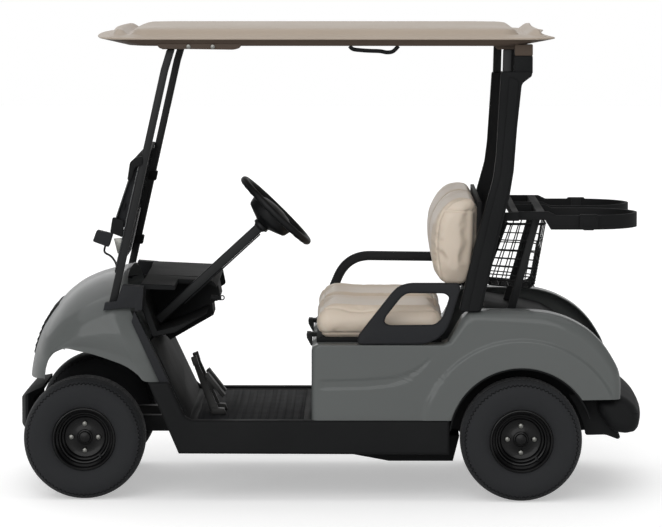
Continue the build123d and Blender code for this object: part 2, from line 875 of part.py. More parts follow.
# ---------------------------------------------------------------- bumpers
bumper_half = 300
tyre_swing_gap = 7
bumper_low_z = rail_bottom_z + 27
bumper_wall = 14
bumper_outline = [
    (bumper_inner_x, bumper_low_z),
    (nose_x - 6, bumper_low_z),
    (nose_x, bumper_low_z + 8),
    (nose_x, 334),
    (nose_x - 38, 373),
    (nose_x - 97, 392),
    (nose_x - 97, 392 - bumper_wall),
    (bumper_inner_x, 352),
]
with BuildPart() as front_bumper:
    add(side_plate(bumper_outline, -bumper_half, bumper_half))
    with BuildSketch(Plane.XY.offset(100)):
        with BuildLine():
            ThreePointArc((nose_x - 36, -bumper_half - 10), (nose_x, 0), (nose_x - 36, bumper_half + 10))
            Polyline(
                (nose_x - 36, bumper_half + 10),
                (nose_x - 100, bumper_half + 10),
                (nose_x - 100, -bumper_half - 10),
                (nose_x - 36, -bumper_half - 10),
            )
        make_face()
    extrude(amount=400, mode=Mode.INTERSECT)
    # room for the inner edge of the steered tyres
    tyre_swing = hypot(tyre_diameter / 2, kingpin_y - front_track / 2 + tyre_width / 2) + tyre_swing_gap
    with BuildSketch(Plane.XY.offset(100)):
        with Locations((front_x, kingpin_y), (front_x, -kingpin_y)):
            Circle(tyre_swing)
    extrude(amount=400, mode=Mode.SUBTRACT)
keep(front_bumper.part, "front_bumper")

tail_half = body_y - 32
tail_sweep = 48
tail_top_z = body_low_z - 9 - fit
tail_lip_z = apron_top_z
# Side outline from the lip behind the painted tail, round the rubbing face, to the underside.
tail_outline = [
    (tail_x + 94, tail_lip_z),
    (tail_x + 82, tail_lip_z),
    (tail_x + 20, tail_top_z),
    (tail_x, tail_top_z - 30),
    (tail_x, 284),
    (tail_x + 9, 262),
    (tail_x + 36, 250),
    (tail_x + bumper_depth, 258),
    (tail_x + bumper_depth + 16, 288),
    (tail_x + 189, tail_top_z),
    (tail_x + bumper_depth - 3, tail_top_z),
]
with BuildPart() as rear_bumper:
    add(side_plate(tail_outline, -tail_half, tail_half))
    with BuildSketch(Plane.XY.offset(100)):
        with BuildLine():
            ThreePointArc((tail_x + tail_sweep, -tail_half), (tail_x, 0), (tail_x + tail_sweep, tail_half))
            Polyline(
                (tail_x + tail_sweep, tail_half),
                (tail_x + 240, tail_half),
                (tail_x + 240, tail_half - 100),
                (tail_x + bumper_depth, tail_half - 120),
                (tail_x + bumper_depth, 120 - tail_half),
                (tail_x + 240, 100 - tail_half),
                (tail_x + 240, -tail_half),
                (tail_x + tail_sweep, -tail_half),
            )
        make_face()
        fillet(vertices().sort_by_distance((tail_x + tail_sweep, tail_half))[0], 30)
        fillet(vertices().sort_by_distance((tail_x + tail_sweep, -tail_half))[0], 30)
    extrude(amount=400, mode=Mode.INTERSECT)
    # two grooves along the rubbing face
    for groove_z in (298, 326):
        with BuildSketch(Plane.XY.offset(groove_z)):
            with BuildLine():
                ThreePointArc((tail_x + tail_sweep, -tail_half), (tail_x, 0), (tail_x + tail_sweep, tail_half))
            trace(line_width=10)
        extrude(amount=7, mode=Mode.SUBTRACT)
keep(rear_bumper.part, "rear_bumper")

# ---------------------------------------------------------------- seat
seat_front_x = riser_x - 3
seat_rear_x = riser_x - 502
seat_half = 478
pan_low_z = seat_deck_z + fit
pan_gauge = 16
cushion_low_z = pan_low_z + pan_gauge + fit
hinge_x = riser_x + 13
hinge_z = pan_low_z + pan_gauge / 2
hinge_pin_radius = 4
hinge_width = 60
hinge_sites = (-260, 260)
lug_gauge = 6
with BuildPart() as seat_pan:
    with Locations(((seat_front_x + seat_rear_x) / 2, 0, hinge_z)):
        Box(seat_front_x - seat_rear_x - 30, 2 * seat_half - 20, pan_gauge)
    for y in hinge_sites:
        with Locations(((seat_front_x - 20 + hinge_x) / 2, y, hinge_z)):
            Box(hinge_x - seat_front_x + 20, hinge_width, pan_gauge - 2)
        with BuildSketch(side_plane(y + hinge_width / 2)):
            with Locations((hinge_x, hinge_z)):
                Circle(9)
        extrude(amount=hinge_width)
        with BuildSketch(side_plane(y + hinge_width / 2)):
            with Locations((hinge_x, hinge_z)):
                Circle(hinge_pin_radius + running_gap)
        extrude(amount=hinge_width, mode=Mode.SUBTRACT)
keep(seat_pan.part, "seat_pan")
with BuildPart() as seat_hinges:
    for y in hinge_sites:
        pin_half = hinge_width / 2 + 1 + lug_gauge
        with BuildSketch(side_plane(y + pin_half)):
            with Locations((hinge_x, hinge_z)):
                Circle(hinge_pin_radius)
        extrude(amount=2 * pin_half)
        for lug_y in (y + pin_half, y - pin_half + lug_gauge):
            with BuildSketch(side_plane(lug_y)):
                with BuildLine():
                    Polyline(
                        (riser_x, hinge_z - 40), (riser_x, hinge_z - 12), (hinge_x - 7, hinge_z + 8),
                        (hinge_x + 8, hinge_z + 8), (hinge_x + 8, hinge_z - 10), (riser_x + 5, hinge_z - 40),
                        close=True,
                    )
                make_face()
            extrude(amount=lug_gauge)
keep(seat_hinges.part, "seat_hinges")
cushion_outline = [
    (seat_front_x, cushion_low_z),
    (seat_front_x, 716),
    (seat_rear_x, 716),
    (seat_rear_x, cushion_low_z),
]
cushion_left = soft_plate(cushion_outline, 6, seat_half, 26, 20)
keep(fused(cushion_left, mirrored(cushion_left)), "seat_cushion")

back_outline = [
    (rear_x + 250, 793),
    (rear_x + 300, 805),
    (rear_x + 329, 894),
    (rear_x + 312, 1020),
    (rear_x + 250, 1145),
    (rear_x + 165, 1125),
    (rear_x + 168, 932),
    (rear_x + 190, 793),
]
back_left = soft_plate(back_outline, 6, 470, 14, 12)
keep(fused(back_left, mirrored(back_left)), "seat_back_cushion")

# ---------------------------------------------------------------- rear posts and covers
post_y = strut_y
post_size = 32
cover_half = 32
post_line = [
    (rear_x + 198, fender_top_z - 20),
    (rear_x + 69, 1175),
    (rear_x + 56, roof_seat_z + 20),
]
below_fender = block(-2000, 2000, -800, 800, 0, fender_top_z + fit)
post_left = bent_bar(post_line, 160, post_size, post_y - post_size / 2, post_y + post_size / 2)
post_left = post_left - above_seat - below_fender
keep(fused(post_left, mirrored(post_left)), "rear_posts")
cover_outline = [
    (rear_x + 237, fender_top_z + fit),
    (rear_x + 99, 1199),
    (rear_x + 103, 1311),
    (rear_x + 81, 1609),
    (rear_x + 5, 1600),
    (rear_x + 21, 1311),
    (rear_x + 36, 1199),
    (rear_x + 51, 1069),
    (rear_x + 152, fender_top_z + fit),
]
cover_left = side_plate(cover_outline, post_y - cover_half, post_y + cover_half)
cover_left = cover_left - bent_bar(
    post_line, 160, post_size + 2 * fit, post_y - post_size / 2 - fit, post_y + post_size / 2 + fit
)
keep(fused(cover_left, mirrored(cover_left)), "post_covers")

# Frame that carries the seat back between the posts.
back_board = side_plate(
    [(rear_x + 190 - fit, 793), (rear_x + 168 - fit, 932), (rear_x + 165 - fit, 1120), (rear_x + 150, 1120),
     (rear_x + 153, 930), (rear_x + 175, 793)],
    -post_y + cover_half + fit, post_y - cover_half - fit,
)
keep(back_board, "seat_back_frame")

# ---------------------------------------------------------------- armrests
armrest_low_y = body_y - 40
armrest_high_y = body_y - 2
armrest_window = soft_plate(
    [(rear_x + 506, 671), (rear_x + 443, 778), (rear_x + 283, 778), (rear_x + 309, 672)],
    armrest_low_y - 1, armrest_high_y + 1, 18, 0.5,
)
armrest_left = soft_plate(
    [(rear_x + 617, seat_deck_z + fit), (rear_x + 614, 630), (rear_x + 461, 820), (rear_x + 207, 820),
     (rear_x + 297, seat_deck_z + fit)],
    armrest_low_y, armrest_high_y, 12, 8, seat_deck_z + 10,
) - armrest_window
keep(armrest_left, "armrest_left")
armrest_right = bent_bar(
    [(rear_x + 757, seat_deck_z - 30), (rear_x + 668, 812), (rear_x + 630, 826), (rear_x + 230, 824)],
    30, 38, -armrest_high_y, -armrest_low_y,
)
with BuildPart() as armrest_round:
    add(armrest_right)
    fillet(faces().filter_by(Axis.Y).edges().filter_by(lambda e: e.center().X > rear_x + 240), 8)
armrest_right = armrest_round.part
armrest_right = armrest_right - block(0, 200, -800, 0, 0, seat_deck_z + fit)
keep(armrest_right, "armrest_right")

# ---------------------------------------------------------------- roof
roof_middle_x = front_x - 899
roof_front_x = roof_middle_x + roof_length / 2
roof_rear_x = roof_middle_x - roof_length / 2
roof_wall = 5


def roof_slab(inset, low, high, edge):
    """Rounded slab of the roof's plan, taken in by inset."""
    with BuildPart() as slab:
        with BuildSketch(Plane.XY.offset(low)):
            with Locations((roof_middle_x, 0)):
                RectangleRounded(roof_length - 2 * inset, roof_width - 2 * inset, 120 - inset)
        extrude(amount=high - low)
        fillet(faces().sort_by(Axis.Z)[-1].edges(), edge)
    return slab.part


roof_deck_z = roof_rim_z + 14
roof_outer = roof_slab(0, roof_rim_z - 27, roof_deck_z, 18)
roof_inner = roof_slab(roof_wall, roof_rim_z - 31, roof_deck_z - roof_wall, 13)
crown_top_z = roof_rim_z + roof_rise
crown_length = roof_length - 310
crown_width = roof_width - 190


def roof_crown(inset, low, edge):
    """Raised middle of the roof, taken in by inset."""
    with BuildPart() as crown:
        with BuildSketch(Plane.XY.offset(low)):
            with Locations((roof_middle_x + 11, 0)):
                RectangleRounded(crown_length - 2 * inset, crown_width - 2 * inset, 90 - inset)
        extrude(amount=crown_top_z - inset - low)
        fillet(faces().sort_by(Axis.Z)[-1].edges(), edge)
    return crown.part


def roof_ridge(x):
    """Cross ridge that stiffens one end of the roof."""
    with BuildPart() as ridge:
        with BuildSketch(Plane.XY.offset(roof_deck_z - 3)):
            with Locations((x, 0)):
                RectangleRounded(ridge_length, crown_width - 60, 25)
        extrude(amount=ridge_height + 3, taper=35)
        fillet(faces().sort_by(Axis.Z)[-1].edges(), 6)
    return ridge.part


ridge_length = 66
ridge_height = 18
ridge_front_x = roof_front_x - 86
ridge_rear_x = roof_rear_x + 54
roof = fused(roof_outer, roof_crown(0, roof_deck_z - 4, 22), roof_ridge(ridge_front_x), roof_ridge(ridge_rear_x))
roof = roof - roof_inner - roof_crown(roof_wall, roof_deck_z - 8, 17)
keep(roof, "roof")

bearer_half = roof_width / 2 - 30
roof_bearers = []
for x in (strut_bend_x - 30, rear_x + 56):
    roof_bearers.append(
        block(x - 40, x + 40, -bearer_half, bearer_half, roof_seat_z, roof_deck_z - roof_wall - fit)
    )
keep(fused(*roof_bearers), "roof_bearers")

# Grab handles under the roof's sides, beside the seat.
handle_y = roof_width / 2 - 28
handle_width = 14
handle_top_z = roof_deck_z - roof_wall - fit
handle_low_z = roof_rim_z - 46
handle_front_x = roof_middle_x - 96
handle_rear_x = roof_middle_x - 282
grab_handle = bent_bar(
    [(handle_front_x, handle_top_z), (handle_front_x - 6, handle_low_z + 4), (handle_rear_x + 6, handle_low_z),
     (handle_rear_x, handle_top_z)],
    20, handle_width, handle_y - handle_width / 2, handle_y + handle_width / 2,
)
grab_handle = grab_handle - block(-2000, 2000, 0, 800, handle_top_z, 2000)
keep(fused(grab_handle, mirrored(grab_handle)), "grab_handles")

# ---------------------------------------------------------------- basket and rack
basket_half = 188
basket_top_z = 1017
basket_corners = [
    # x, z of the side frame's corners
    (rear_x + 42, basket_top_z),
    (rear_x - 106, basket_top_z),
    (rear_x - 60, 758),
    (rear_x + 130, 777),
]
with BuildPart() as basket:
    with BuildSketch(side_plane(basket_half)):
        with BuildLine():
            Polyline(*basket_corners, close=True)
        make_face()
    extrude(amount=2 * basket_half)
    with BuildSketch(side_plane(basket_half - 4)):
        with BuildLine():
            Polyline(*basket_corners, close=True)
        make_face()
        offset(amount=-4, kind=Kind.INTERSECTION)
    extrude(amount=2 * basket_half - 8, mode=Mode.SUBTRACT)
    with Locations((rear_x - 32, 0, basket_top_z)):
        Box(136, 2 * basket_half - 8, 20, mode=Mode.SUBTRACT)
keep(basket.part, "basket")

rack_low_z = 1012
rack_high_z = 1066
rack_leg_low_z = 1048
rack_leg_high_z = 1080
rack_radius = 190
rack_gauge = 12
rack_bow_x = tail_x + 29 + rack_radius
rack_step_x = rear_x - 112
rack_front_x = rear_x + 22
leg_outline = [
    (rack_front_x, rack_leg_low_z),
    (rack_front_x, rack_leg_high_z),
    (rack_step_x + 10, rack_leg_high_z),
    (rack_step_x - 20, rack_high_z),
    (rack_step_x - 20, rack_low_z),
    (rack_step_x, rack_low_z),
    (rack_step_x + 22, rack_leg_low_z),
]
with BuildPart() as rack:
    for y in (250, -250):
        with BuildSketch(Plane.XY.offset(rack_low_z)):
            with BuildLine():
                Line((rack_step_x, y - rack_radius), (rack_bow_x, y - rack_radius))
                ThreePointArc(
                    (rack_bow_x, y - rack_radius), (rack_bow_x - rack_radius, y), (rack_bow_x, y + rack_radius)
                )
                Line((rack_bow_x, y + rack_radius), (rack_step_x, y + rack_radius))
            trace(line_width=rack_gauge)
        extrude(amount=rack_high_z - rack_low_z)
        for leg_y in (y - rack_radius, y + rack_radius):
            add(side_plate(leg_outline, leg_y - rack_gauge / 2, leg_y + rack_gauge / 2))
    bracket_y = post_y - cover_half - fit
    leg_middle_z = (rack_leg_low_z + rack_leg_high_z) / 2
    leg_height = rack_leg_high_z - rack_leg_low_z
    with Locations((rack_front_x, 0, leg_middle_z)):
        Box(24, 2 * bracket_y, leg_height)
    with Locations((rear_x - 74, 0, leg_middle_z)):
        Box(30, 2 * (250 + rack_radius), leg_height)
    for y in (bracket_y - 4, -bracket_y + 4):
        with Locations((rack_front_x + 40, y, leg_middle_z)):
            Box(100, 8, leg_height)
keep(rack.part, "bag_rack")

bar_gauge = 8
bar_y = basket_half + fit
with BuildPart() as rack_bars:
    for y in (bar_y + bar_gauge, -bar_y):
        with BuildSketch(side_plane(y)):
            with BuildLine():
                Polyline(
                    (rear_x - 87, rack_leg_low_z - fit), (rear_x - 60, rack_leg_low_z - fit),
                    (rear_x + 43, deck_z(rear_x + 43) + fit), (rear_x + 12, deck_z(rear_x + 12) + fit), close=True,
                )
            make_face()
        extrude(amount=bar_gauge)
keep(rack_bars.part, "rack_supports")

# ---------------------------------------------------------------- suspension and axle
pin_bore = kingpin_radius + running_gap
with BuildPart() as front_link:
    with BuildSketch(Plane.XY.offset(lower_eye_z - eye_height / 2)):
        with Locations((front_x, kingpin_y)):
            Circle(eye_radius)
        with BuildLine():
            Polyline(
                (front_x + 12, kingpin_y), (front_x + 70, rail_y + rail_width / 2), (front_x + 40, rail_y - 10),
                (front_x - 40, rail_y - 10), (front_x - 70, rail_y + rail_width / 2), (front_x - 12, kingpin_y),
                close=True,
            )
        make_face()
        with Locations((front_x, kingpin_y)):
            Circle(pin_bore, mode=Mode.SUBTRACT)
    extrude(amount=eye_height)
    with BuildSketch(Plane.XY.offset(upper_eye_z - eye_height / 2)):
        with Locations((front_x, kingpin_y)):
            Circle(eye_radius)
        with Locations((front_x, (kingpin_y + rail_y) / 2)):
            Rectangle(24, kingpin_y - rail_y)
        with Locations((front_x, kingpin_y)):
            Circle(pin_bore, mode=Mode.SUBTRACT)
    extrude(amount=eye_height)
    with Locations((front_x, rail_y + rail_width / 2 + 10, (lower_eye_z + upper_eye_z) / 2)):
        Box(60, 20, upper_eye_z - lower_eye_z)
front_suspension = front_link.part
keep(fused(front_suspension, mirrored(front_suspension)), "front_suspension")

# Gear case on the axle with the electric motor ahead of it.
motor_x = rear_x + 108
motor_radius = 68
case_low_y = -2
case_high_y = 58
motor_gap = 5
motor_length = rail_y - rail_width / 2 - motor_gap + case_low_y
with BuildPart() as rear_axle:
    with BuildSketch(Plane(origin=(rear_x, -rear_track / 2 - disc_offset - 6, axle_z), x_dir=(1, 0, 0), z_dir=(0, 1, 0))):
        Circle(spindle_radius)
    extrude(amount=rear_track + 2 * disc_offset + 12)
    drum_back = rear_track / 2 + disc_offset - hub_length - 3
    with BuildSketch(Plane(origin=(rear_x, -drum_back, axle_z), x_dir=(1, 0, 0), z_dir=(0, 1, 0))):
        Circle(30)
    extrude(amount=2 * drum_back)
    for y in (drum_back - 40, -drum_back):
        with BuildSketch(Plane(origin=(rear_x, y, axle_z), x_dir=(1, 0, 0), z_dir=(0, 1, 0))):
            Circle(88)
        extrude(amount=40)
    with BuildSketch(side_plane(case_high_y)):
        with Locations((rear_x, axle_z)):
            Circle(78)
        with Locations((motor_x, axle_z)):
            Circle(motor_radius + 6)
        make_hull()
    extrude(amount=case_high_y - case_low_y)
    with BuildSketch(side_plane(case_low_y)):
        with Locations((motor_x, axle_z)):
            Circle(motor_radius)
    extrude(amount=motor_length)
keep(rear_axle.part, "rear_axle")

# Rear springs between the axle and the kicked-up rails, and the arms that lead the axle.
axle_tube_radius = 30
spring_y = rail_y + 12
arm_y = 230
rail_under_z = rail_bottom_z + kick_rise
with BuildPart() as rear_link:
    with Locations((rear_x, spring_y, axle_z + 26)):
        Box(60, 50, 20)
    with BuildSketch(Plane.XY.offset(axle_z + 30)):
        with Locations((rear_x, spring_y)):
            Circle(21)
    extrude(amount=rail_under_z - fit - axle_z - 30)
    with Locations(((2 * rear_x + 312 - fit - 34) / 2, arm_y, axle_z + 22)):
        Box(312 - fit + 34, 28, 32)
    with BuildSketch(side_plane(600)):
        with Locations((rear_x, axle_z)):
            Circle(axle_tube_radius + fit)
    extrude(amount=600, mode=Mode.SUBTRACT)
keep(fused(rear_link.part, mirrored(rear_link.part)), "rear_suspension")

# Rack housing below the rails: the tie rod slides through it.
housing_half = rail_y
with BuildPart() as steering_rack:
    rack_plane = Plane(origin=(tie_x, -housing_half, tie_rod_z), x_dir=(1, 0, 0), z_dir=(0, 1, 0))
    with BuildSketch(rack_plane):
        Circle(19)
    extrude(amount=2 * housing_half)
    for y in (housing_half - 12, -housing_half + 12):
        with Locations((tie_x, y, (tie_rod_z + rail_bottom_z - fit) / 2)):
            Box(44, 24, rail_bottom_z - fit - tie_rod_z)
    with BuildSketch(rack_plane):
        Circle(tie_rod_radius + running_gap)
    extrude(amount=2 * housing_half, mode=Mode.SUBTRACT)
keep(steering_rack.part, "steering_rack")

for piece in made:
    export_step(piece, f"parts/{piece.label}.step")
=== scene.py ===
from math import cos, exp, hypot, pi, radians, sin, sqrt

import bpy
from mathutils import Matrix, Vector


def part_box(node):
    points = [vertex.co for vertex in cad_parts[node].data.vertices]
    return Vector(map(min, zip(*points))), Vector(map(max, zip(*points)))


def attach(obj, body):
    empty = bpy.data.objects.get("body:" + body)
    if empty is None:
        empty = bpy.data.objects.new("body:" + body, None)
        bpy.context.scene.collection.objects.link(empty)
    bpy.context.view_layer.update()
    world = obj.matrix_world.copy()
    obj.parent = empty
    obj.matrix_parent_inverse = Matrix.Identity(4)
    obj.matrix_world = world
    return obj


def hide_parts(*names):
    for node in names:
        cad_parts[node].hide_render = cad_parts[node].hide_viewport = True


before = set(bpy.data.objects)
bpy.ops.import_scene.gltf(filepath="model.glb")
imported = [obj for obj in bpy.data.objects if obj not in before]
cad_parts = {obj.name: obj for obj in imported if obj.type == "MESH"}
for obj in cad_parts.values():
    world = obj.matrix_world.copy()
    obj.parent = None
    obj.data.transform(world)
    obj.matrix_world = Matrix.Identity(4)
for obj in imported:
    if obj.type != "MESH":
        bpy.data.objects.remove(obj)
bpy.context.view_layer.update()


# tools for modelling: a piece stays at the origin and its place is in its mesh

def deselectAll():
    bpy.ops.object.select_all(action="DESELECT")


def makeActive(piece):
    deselectAll()
    piece.select_set(True)
    bpy.context.view_layer.objects.active = piece


def editMesh(piece, whole=True, **steps):
    # mesh operators in edit mode, in turn, with the whole mesh selected first unless told otherwise
    makeActive(piece)
    bpy.ops.object.mode_set(mode="EDIT")
    if whole:
        bpy.ops.mesh.select_all(action="SELECT")
    for name, settings in steps.items():
        getattr(bpy.ops.mesh, name)(**settings)
    bpy.ops.object.mode_set(mode="OBJECT")


def cleanMesh(piece, distance=0.00002):
    editMesh(piece, remove_doubles={"threshold": distance}, normals_make_consistent={"inside": False})


def flipFaces(piece):
    editMesh(piece, flip_normals={})


def applyModifier(piece, kind, **settings):
    makeActive(piece)
    modifier = piece.modifiers.new(kind.title(), kind)
    for name, value in settings.items():
        setattr(modifier, name, value)
    bpy.ops.object.modifier_apply(modifier=modifier.name)


def softenEdges(piece, width, steps=2, angle=30):
    applyModifier(piece, "BEVEL", width=width, segments=steps, limit_method="ANGLE",
                  angle_limit=radians(angle))


def smoothShade(piece, angle=35):
    makeActive(piece)
    bpy.ops.object.shade_smooth_by_angle(angle=radians(angle))


def gridPiece(name, columns, rows, place):
    deselectAll()
    bpy.ops.mesh.primitive_grid_add(x_subdivisions=columns, y_subdivisions=rows, size=2)
    piece = bpy.context.object
    piece.name = name
    for vertex in piece.data.vertices:
        vertex.co = place((vertex.co.x + 1) / 2, (vertex.co.y + 1) / 2)
    cleanMesh(piece)
    return piece


def platePiece(name, outline, yLow, yHigh, edge=0.003, steps=2):
    deselectAll()
    bpy.ops.mesh.primitive_circle_add(vertices=len(outline), fill_type="NGON")
    piece = bpy.context.object
    piece.name = name
    for vertex, (x, z) in zip(piece.data.vertices, outline):
        vertex.co = (x, yLow, z)
    editMesh(piece, extrude_region_move={"TRANSFORM_OT_translate": {"value": (0, yHigh - yLow, 0)}})
    cleanMesh(piece)
    if edge:
        softenEdges(piece, edge, steps, 40)
    smoothShade(piece)
    return piece


def boxPiece(name, low, high, edge=0.003, steps=2):
    outline = [(low[0], low[2]), (high[0], low[2]), (high[0], high[2]), (low[0], high[2])]
    return platePiece(name, outline, low[1], high[1], edge, steps)


def newObject(name, data):
    made = bpy.data.objects.new(name, data)
    bpy.context.collection.objects.link(made)
    return made


def tubePiece(name, points, radius, closed=False, sides=2):
    curve = bpy.data.curves.new(name, "CURVE")
    curve.dimensions = "3D"
    curve.bevel_depth = radius
    curve.bevel_resolution = sides
    curve.use_fill_caps = not closed
    spline = curve.splines.new("POLY")
    spline.points.add(len(points) - 1)
    for point, place in zip(spline.points, points):
        point.co = (*place, 1)
    spline.use_cyclic_u = closed
    makeActive(newObject(name, curve))
    bpy.ops.object.convert(target="MESH")
    piece = bpy.context.object
    smoothShade(piece, 50)
    return piece


def roundPiece(name, start, end, radius, sides=24, edge=0.0):
    a, b = Vector(start), Vector(end)
    deselectAll()
    bpy.ops.mesh.primitive_cylinder_add(vertices=sides, radius=radius, depth=(b - a).length)
    piece = bpy.context.object
    piece.name = name
    turn = (b - a).to_track_quat("Z", "Y").to_matrix().to_4x4()
    turn.translation = (a + b) / 2
    piece.data.transform(turn)
    if edge:
        softenEdges(piece, edge, 2, 40)
    smoothShade(piece)
    return piece


def joinPieces(name, pieces):
    makeActive(pieces[0])
    for piece in pieces[1:]:
        piece.select_set(True)
    if len(pieces) > 1:
        bpy.ops.object.join()
    piece = bpy.context.object
    piece.name = name
    return piece


def twinOf(piece, name):
    twin = piece.copy()
    twin.data = piece.data.copy()
    twin.name = name
    bpy.context.collection.objects.link(twin)
    return twin


def otherSide(piece, name):
    # mirrored copy for the other side of the cart
    twin = twinOf(piece, name)
    for vertex in twin.data.vertices:
        vertex.co.y = -vertex.co.y
    flipFaces(twin)
    return twin


def movedCopy(piece, name, move, mirror=False):
    twin = otherSide(piece, name) if mirror else twinOf(piece, name)
    for vertex in twin.data.vertices:
        vertex.co += Vector(move)
    return twin


def cornerPoints(before, here, after, radius, share, steps):
    # a corner drawn round, using up at most a share of each of its sides
    a, b, c = Vector(before), Vector(here), Vector(after)
    reach = min(radius, (a - b).length * share, (c - b).length * share)
    start, end = b + (a - b).normalized() * reach, b + (c - b).normalized() * reach
    shares = [i / steps for i in range(steps + 1)]
    return [tuple(start * (1 - t) ** 2 + b * 2 * t * (1 - t) + end * t * t) for t in shares]


def rounded(points, radius, steps=5):
    # closed outline with its corners rounded
    line = []
    for before, here, after in zip(points[-1:] + points[:-1], points, points[1:] + points[:1]):
        line += cornerPoints(before, here, after, radius, 0.45, steps)
    return line


def bendPath(points, radius, steps=8):
    # open line through the points with its corners rounded
    line = [tuple(points[0])]
    for before, here, after in zip(points, points[1:], points[2:]):
        line += cornerPoints(before, here, after, radius, 0.48, steps)
    return line + [tuple(points[-1])]


def stripOutline(path, width):
    # outline of a flat bar that follows a path
    sides = ([], [])
    for i, here in enumerate(path):
        run = (Vector(path[min(i + 1, len(path) - 1)]) - Vector(path[max(i - 1, 0)])).normalized()
        for side, sign in zip(sides, (1, -1)):
            side.append((here[0] - run.y * sign * width / 2, here[1] + run.x * sign * width / 2))
    return sides[0] + sides[1][::-1]


def rayReach(outline, centre, turn):
    # distance from the centre to the outline in one direction
    way = Vector((cos(turn), sin(turn)))
    reach = 0.0
    for a, b in zip(outline, outline[1:] + outline[:1]):
        p, q = Vector(a) - centre, Vector(b) - centre
        edge = q - p
        bottom = way.x * edge.y - way.y * edge.x
        if abs(bottom) < 1e-12:
            continue
        t = (p.x * edge.y - p.y * edge.x) / bottom
        share = (p.x * way.y - p.y * way.x) / bottom
        if t > 0 and -1e-9 <= share <= 1 + 1e-9:
            reach = max(reach, t)
    return reach


def ringPiece(name, outer, inner, centre, yLow, yHigh, edge, steps=192):
    # moulded loop between two side outlines, with rounded edges all round
    middle = Vector(centre)
    section = []
    for corner, (s, t) in enumerate(((1, 1), (0, 1), (0, 0), (1, 0))):
        for i in range(5):
            turn = radians(90 * corner + 22.5 * i)
            section.append((s, t, cos(turn), sin(turn)))
    section.append(section[0])
    around = [2 * pi * i / steps for i in range(steps)]
    spans = [(rayReach(inner, middle, a), rayReach(outer, middle, a)) for a in around]

    def place(u, v):
        i = round(u * steps) % steps
        s, t, c, r = section[round(v * (len(section) - 1))]
        low, high = spans[i]
        reach = (high - edge if s else low + edge) + c * edge
        y = (yHigh - edge if t else yLow + edge) + r * edge
        return (middle.x + reach * cos(around[i]), y, middle.y + reach * sin(around[i]))

    piece = gridPiece(name, steps, len(section) - 1, place)
    smoothShade(piece, 40)
    return piece


def placeAlong(piece, origin, way, side=(0, 1, 0)):
    # turns a piece made along its own Z to lie along a direction, its own Y to the side
    z = Vector(way).normalized()
    x = Vector(side).cross(z).normalized()
    y = z.cross(x)
    for vertex in piece.data.vertices:
        co = vertex.co
        vertex.co = Vector(origin) + x * co.x + y * co.y + z * co.z
    piece.data.update()


def latheAlong(name, rows, origin, way, steps=64):
    # turned form: radius and distance along the direction
    def place(u, v):
        radius, along = rows[round(v * (len(rows) - 1))]
        return (radius * cos(2 * pi * u), radius * sin(2 * pi * u), along)

    piece = gridPiece(name, steps, len(rows) - 1, place)
    placeAlong(piece, origin, way)
    cleanMesh(piece)
    smoothShade(piece, 40)
    return piece


def trackAt(rows, t):
    # smooth curve through the rows, t from 0 to 1
    spot = min(max(t, 0), 1) * (len(rows) - 1)
    i = min(int(spot), len(rows) - 2)
    f = spot - i
    a, b, c, d = (rows[min(max(k, 0), len(rows) - 1)] for k in (i - 1, i, i + 1, i + 2))
    return [
        0.5 * (2 * q + (r - p) * f + (2 * p - 5 * q + 4 * r - s) * f * f + (3 * q - p - 3 * r + s) * f ** 3)
        for p, q, r, s in zip(a, b, c, d)
    ]


def smoothStep(value, low, high):
    t = min(max((value - low) / (high - low), 0), 1)
    return t * t * (3 - 2 * t)


def frameCopy(name, node, edge=0.0015, angle=35):
    # the frame's own shape with its flat faces merged and its edges softened
    piece = newObject(name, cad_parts[node].data.copy())
    makeActive(piece)
    bpy.ops.mesh.customdata_custom_splitnormals_clear()
    editMesh(piece, remove_doubles={"threshold": 0.00005}, dissolve_limited={"angle_limit": radians(0.6)})
    if edge:
        softenEdges(piece, edge, 2, 32)
    smoothShade(piece, angle)
    return piece


# what a slot is made of when a piece doesn't say otherwise
slotFinish = {
    # roof pieces without a finish of their own take the roof's darker underside brown, which is painted shade
    "body_paint": "bodyEnamel", "roof_plastic": "roofPaintedShade", "black_plastic": "blackPolypropylene",
    "charcoal_plastic": "charcoalPolypropylene", "black_steel": "powderCoat", "plain_steel": "chassisPaint",
    "wheel_steel": "wheelEnamel", "tyre": "tyreRubber", "vinyl": "marineVinyl", "mat": "matRubber",
    "battery_case": "batteryCase", "screen": "smokedAcrylic",
}


def setPiece(piece, slot, *nodes, body="chassis", finish=None):
    piece.data.materials.clear()
    piece.data.materials.append(bpy.data.materials[finish or slotFinish[slot]])
    for polygon in piece.data.polygons:
        polygon.material_index = 0
    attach(piece, body)
    if nodes:
        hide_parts(*nodes)


def setPair(left, rightName, slot, *nodes, **own):
    # a left piece and its mirrored copy; the left one stands for the nodes
    right = otherSide(left, rightName)
    setPiece(left, slot, *nodes, **own)
    setPiece(right, slot, **own)
    return left, right


def mm(rows):
    # tables of points are written in millimetres
    return [tuple(value / 1000 for value in row) for row in rows]


# materials

def paint(code):
    parts = [int(code[i:i + 2], 16) / 255 for i in (1, 3, 5)]
    return (*[c / 12.92 if c <= 0.04045 else ((c + 0.055) / 1.055) ** 2.4 for c in parts], 1)


def addNode(tree, kind, settings=None, links=None):
    node = tree.nodes.new(kind)
    for name, value in (settings or {}).items():
        if isinstance(name, int) or name in node.inputs:
            node.inputs[name].default_value = value
        else:
            setattr(node, name, value)
    for name, (source, output) in (links or {}).items():
        tree.links.new(source.outputs[output], node.inputs[name])
    return node


def newMaterial(name):
    material = bpy.data.materials.new(name)
    material.use_nodes = True
    material.node_tree.nodes.clear()
    return material


def addSurface(tree, settings, links):
    shader = addNode(tree, "ShaderNodeBsdfPrincipled", settings, links)
    addNode(tree, "ShaderNodeOutputMaterial", links={"Surface": (shader, "BSDF")})


